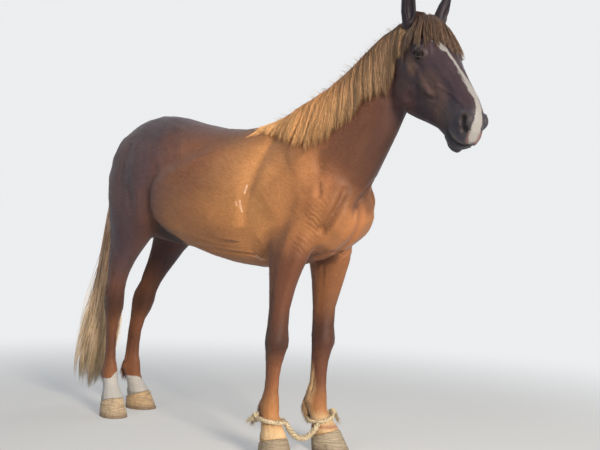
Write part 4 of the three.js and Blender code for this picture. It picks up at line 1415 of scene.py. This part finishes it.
def coat(skin, surface):
    """Short hair: longer on the body, finer on the head and legs, and then the feathers."""
    body_count = 49_000
    small_count = 49_000

    def body(p):
        return (head_share(p) < 0.5) * smoothstep(0.70, 0.80, p[:, 2])

    def small(p):
        """The head, thinner on the lips and bare at the eyes, and the legs."""
        head = head_share(p)
        eyes = sum(falloff(p, [place], 0.034, 1) for place in EYES.values())
        lips = smoothstep(0.47, 0.52, to_head(p)[:, 0]) * head
        return (1 - body(p)) * (1 + 1.5 * head) * (1 - smoothstep(0.02, 0.30, eyes)) * (1 - 0.85 * lips)

    def body_length(p):
        return 0.014 + 0.003 * (p[:, 2] < 0.9)

    def small_length(p):
        return 0.0095 - 0.003 * head_share(p)

    tufts("coat_body", skin, body_count, body, body_length, 0.00062, radians(5))
    tufts("coat_small", skin, small_count, small, small_length, 0.00045, radians(7))
    feathers(skin, surface)


# ---- Hooves and rope ----------------------------------------------------------------------------

HOOF_COLOURS = {"forehoof_right": (0.36, 0.28, 0.19), "forehoof_left": (0.38, 0.31, 0.22),
                "hindhoof_right": (0.56, 0.42, 0.27), "hindhoof_left": (0.54, 0.37, 0.21)}


def hoof(node):
    """A hoof's wall, rounded and ringed."""
    mesh = NODES[node].data.copy()
    obj = object_from(node + "_wall", mesh)
    mesh = modified(obj, "REMESH", mode="VOXEL", voxel_size=0.0028, adaptivity=0)
    points = points_of(mesh)
    edge = smoothstep(0.002, 0.012, points[:, 2])
    mesh = modified(obj, "SMOOTH", group=edge, factor=0.5, iterations=10)
    points, normals = points_of(mesh), normals_of(mesh)
    middle = middle_of(node)
    slope = points[:, 2] + 0.22 * (points[:, 0] - middle[0])  # the rings sink towards the heel
    wall = smoothstep(0.004, 0.014, points[:, 2]) * (np.abs(normals[:, 2]) < 0.8)
    turn = np.arctan2(points[:, 1] - middle[1], points[:, 0] - middle[0])
    rings = np.sin(slope * tau / 0.0105 + 0.6 * np.sin(2 * turn)) + 0.6 * np.sin(slope * tau / 0.017 + turn)
    move_points(mesh, points + normals * (0.0007 * rings * wall)[:, None])
    mesh.shade_smooth()
    finish_piece(obj, horn_material(node, HOOF_COLOURS[node]), "horn", node)


def horn_material(name, base):
    """Horn with growth rings and upright grain, soiled near the ground."""
    m = Shader(name)
    growth = m.noise((14, 14, 260), 3)
    grain = m.noise((260, 260, 16), 3)
    dark, bright = ((*np.multiply(base, share), 1) for share in (0.68, 1.22))
    colour = m.mix(m.ramp(growth, 0.35, 0.65), dark, bright)
    colour = m.mix(m.ramp(grain, 0.4, 0.7, 0, 0.35), colour, (0.23, 0.17, 0.12, 1))
    height = m.add("SeparateXYZ", {0: m.add("TexCoord", {}, "Object")}, 2)
    low = m.ramp(height, 0.004, 0.034, 0.75, 0.0)
    soil = m.math("ADD", low, m.ramp(m.noise(38, 4), 0.52, 0.75, 0.0, 0.55))
    colour = m.mix(m.math("MINIMUM", soil, 0.85), colour, (0.16, 0.11, 0.075, 1))
    ridged = m.bump(growth, 0.0008, 0.7, m.bump(grain, 0.0004, 0.6))
    return m.surface({"Base Color": colour, "Roughness": 0.62, "Normal": ridged})


# The link's route between the two loops, in metres.
LINK_ROUTE = np.array([
    (0.3115, -0.093, 0.138), (0.3135, -0.083, 0.124), (0.3155, -0.073, 0.111), (0.3175, -0.062, 0.098),
    (0.3205, -0.050, 0.087), (0.3225, -0.038, 0.079), (0.3245, -0.027, 0.073), (0.3275, -0.015, 0.070),
    (0.3295, -0.003, 0.070), (0.3315, 0.008, 0.069), (0.3335, 0.020, 0.072), (0.3365, 0.032, 0.078),
    (0.3385, 0.043, 0.086), (0.3405, 0.053, 0.094), (0.3425, 0.063, 0.104), (0.3445, 0.073, 0.116)])
LINK_RADIUS = 0.012
LOOP_RADIUS = 0.009
FUZZ = 420  # loose fibres on each length of rope


def laid_rope(name, path, radius, pitch, closed=False, away=UP):
    """Three strands twisted round a path that never runs along away."""
    path = np.asarray(path, float)
    if closed:
        path = np.vstack([path, path[:1]])
    ahead = np.gradient(path, axis=0)
    if closed:
        ahead[0] = ahead[-1] = path[1] - path[-2]
    ahead = unit(ahead)
    run = np.concatenate([[0], np.cumsum(np.linalg.norm(np.diff(path, axis=0), axis=1))])
    side = unit(np.cross(ahead, away))
    over = np.cross(side, ahead)
    turns = max(1, round(run[-1] / pitch))
    to_end = np.minimum(run, run[-1] - run)
    blunt = np.sqrt(np.clip(to_end / (0.7 * radius), 0.0004, 1))
    thick = radius * (np.ones_like(run) if closed else blunt)
    points, faces = [], []
    around = 10
    for strand in range(3):
        phase = (run / run[-1] * turns * tau + strand * tau / 3)[:, None]
        out = side * np.cos(phase) + over * np.sin(phase)
        turn = circle(around)[:, None]
        across = np.cross(ahead, out)
        ring = out[:, None] * (0.50 + 0.53 * np.cos(turn)) + across[:, None] * 0.53 * np.sin(turn)
        faces.append(tube_faces(len(path), around) + strand * len(path) * around)
        points.append((path[:, None] + ring * thick[:, None, None]).reshape(-1, 3))
    return mesh_from(name, np.concatenate(points), np.concatenate(faces))


def rope_material():
    m = Shader("rope")
    fibre = m.noise(420, 4)
    yarn = m.noise(160, 2)
    straw = m.mix(m.ramp(yarn, 0.35, 0.65), (0.46, 0.37, 0.24, 1), (0.78, 0.67, 0.48, 1))
    colour = m.mix(m.ramp(m.noise(30, 3), 0.5, 0.75, 0.0, 0.5), straw, (0.24, 0.17, 0.11, 1))
    return m.surface({"Base Color": colour, "Roughness": 0.88, "Normal": m.bump(fibre, 0.0012, 0.9)})


def hobble_link():
    """The free rope between the loops, which runs a little way into both."""
    inside = LINK_ROUTE[[0, -1]] + 0.8 * (LINK_ROUTE[[0, -1]] - LINK_ROUTE[[1, -2]])
    path = curve_through([inside[0], *LINK_ROUTE, inside[1]], 90)
    link = object_from("hobble_link_rope", laid_rope("link", path, LINK_RADIUS, 0.055))
    finish_piece(link, ROPE, "rope", "hobble_link")


# Which way each loop's knot lies from the middle of its pastern.
KNOTS = {"hobble_loop_right": radians(-153), "hobble_loop_left": radians(70)}


def loop_path(node):
    """The middle line of a CAD loop: the middle of its section, all the way round."""
    points = points_of(NODES[node].data)
    middle = middle_of(node)
    turn = np.arctan2(points[:, 1] - middle[1], points[:, 0] - middle[0])
    path = []
    for angle in np.linspace(-pi, pi, 72, endpoint=False):
        section = points[np.abs((turn - angle + pi) % tau - pi) < 0.30]
        path.append((section.min(0) + section.max(0)) / 2)
    path = np.array(path)
    for _ in range(30):
        path = (np.roll(path, 1, 0) + 2 * path + np.roll(path, -1, 0)) / 4
    return path


def trefoil(place, away, size):
    """An overhand knot's line, flat against a direction."""
    t = circle(90)
    side = unit(np.cross(UP, away))
    over = np.cross(away, side)
    flat = (np.sin(t) + 2 * np.sin(2 * t))[:, None] * side + (np.cos(t) - 2 * np.cos(2 * t))[:, None] * over
    return place + (flat - 1.3 * np.sin(3 * t)[:, None] * away) * size


def frayed_end(place, way, count=90):
    """A rope's cut end: a brush of loose fibres."""
    start = place + RANDOM.normal(0, 0.0035, (count, 3))
    u = along_strand(6)
    length = RANDOM.uniform(0.018, 0.042, (count, 1, 1))
    spread = RANDOM.normal(0, 0.20, (count, 1, 3)) * u
    return start[:, None] + length * ((unit(way) + spread) * u - UP * 0.3 * u**2)


def fuzz(path, radius, count):
    """Fibres that stand out of a rope."""
    own = RANDOM.integers(1, len(path) - 1, count)
    ahead = unit(path[own + 1] - path[own - 1])
    out = unit(np.cross(ahead, RANDOM.normal(size=(count, 3))))
    lean = unit(out + ahead * RANDOM.normal(0, 1.2, (count, 1)))
    u = along_strand(6)
    length = RANDOM.uniform(0.004, 0.011, (count, 1, 1))
    bent = lean[:, None] * u + out[:, None] * 0.4 * u**2
    return (path[own] + out * radius * 0.8)[:, None] + bent * length


def hobble():
    """The two loops and the link, with their knots, frayed ends and loose fibres."""
    fibres = [fuzz(curve_through(LINK_ROUTE, 90), LINK_RADIUS, FUZZ)]
    for node, angle in KNOTS.items():
        path = loop_path(node)
        rope = object_from(node + "_rope", laid_rope(node, path, LOOP_RADIUS, 0.042, True))
        finish_piece(rope, ROPE, "rope", node)
        away = np.array([cos(angle), sin(angle), 0])
        place = path[np.argmax((path - middle_of(node)) @ away)] + away * 0.007
        line = trefoil(place, away, 0.0058)
        knot = object_from(node + "_knot", laid_rope(node, line, 0.0075, 0.030, True, away))
        finish_piece(knot, ROPE, "rope")
        side = np.cross(UP, away)
        ends = place + away * 0.010
        fibres.append(frayed_end(ends + side * 0.008, away * 0.8 + side * 0.7 - UP * 0.5))
        fibres.append(frayed_end(ends - side * 0.006 - UP * 0.008, away * 0.5 - side * 0.5 - UP))
        fibres.append(fuzz(path, LOOP_RADIUS, FUZZ))
    paths = wander(np.concatenate(fibres), 0.0012)
    places = RANDOM.uniform(0, 1, (len(paths), 2))
    loose = strand_mesh("rope_fibres", paths, 0.00045, places)
    finish_piece(object_from("rope_fibres", loose), ROPE, "rope")


camera()
ROPE = rope_material()
hobble_link()
studio()
COAT = coat_material("coat", False)
skin = skin_base()
surface = sculpt(skin)
thinned(skin)
skin.data.shade_smooth()
colour_coat(skin.data, points_of(skin.data))
finish_piece(skin, coat_material("skin", True), "coat", *FLESH)
for side in SIDES:
    eye(side)
    lids(side)
    lashes(side)
for node in HOOF_COLOURS:
    hoof(node)
hobble()
mane(surface, "mane_under", 1.0)
mane(surface, "mane_locks", 0.25)
crest_wisps(surface)
forelock(surface)
tail("tail_inner")
tail("tail_outer")
dock()
coat(skin, surface)
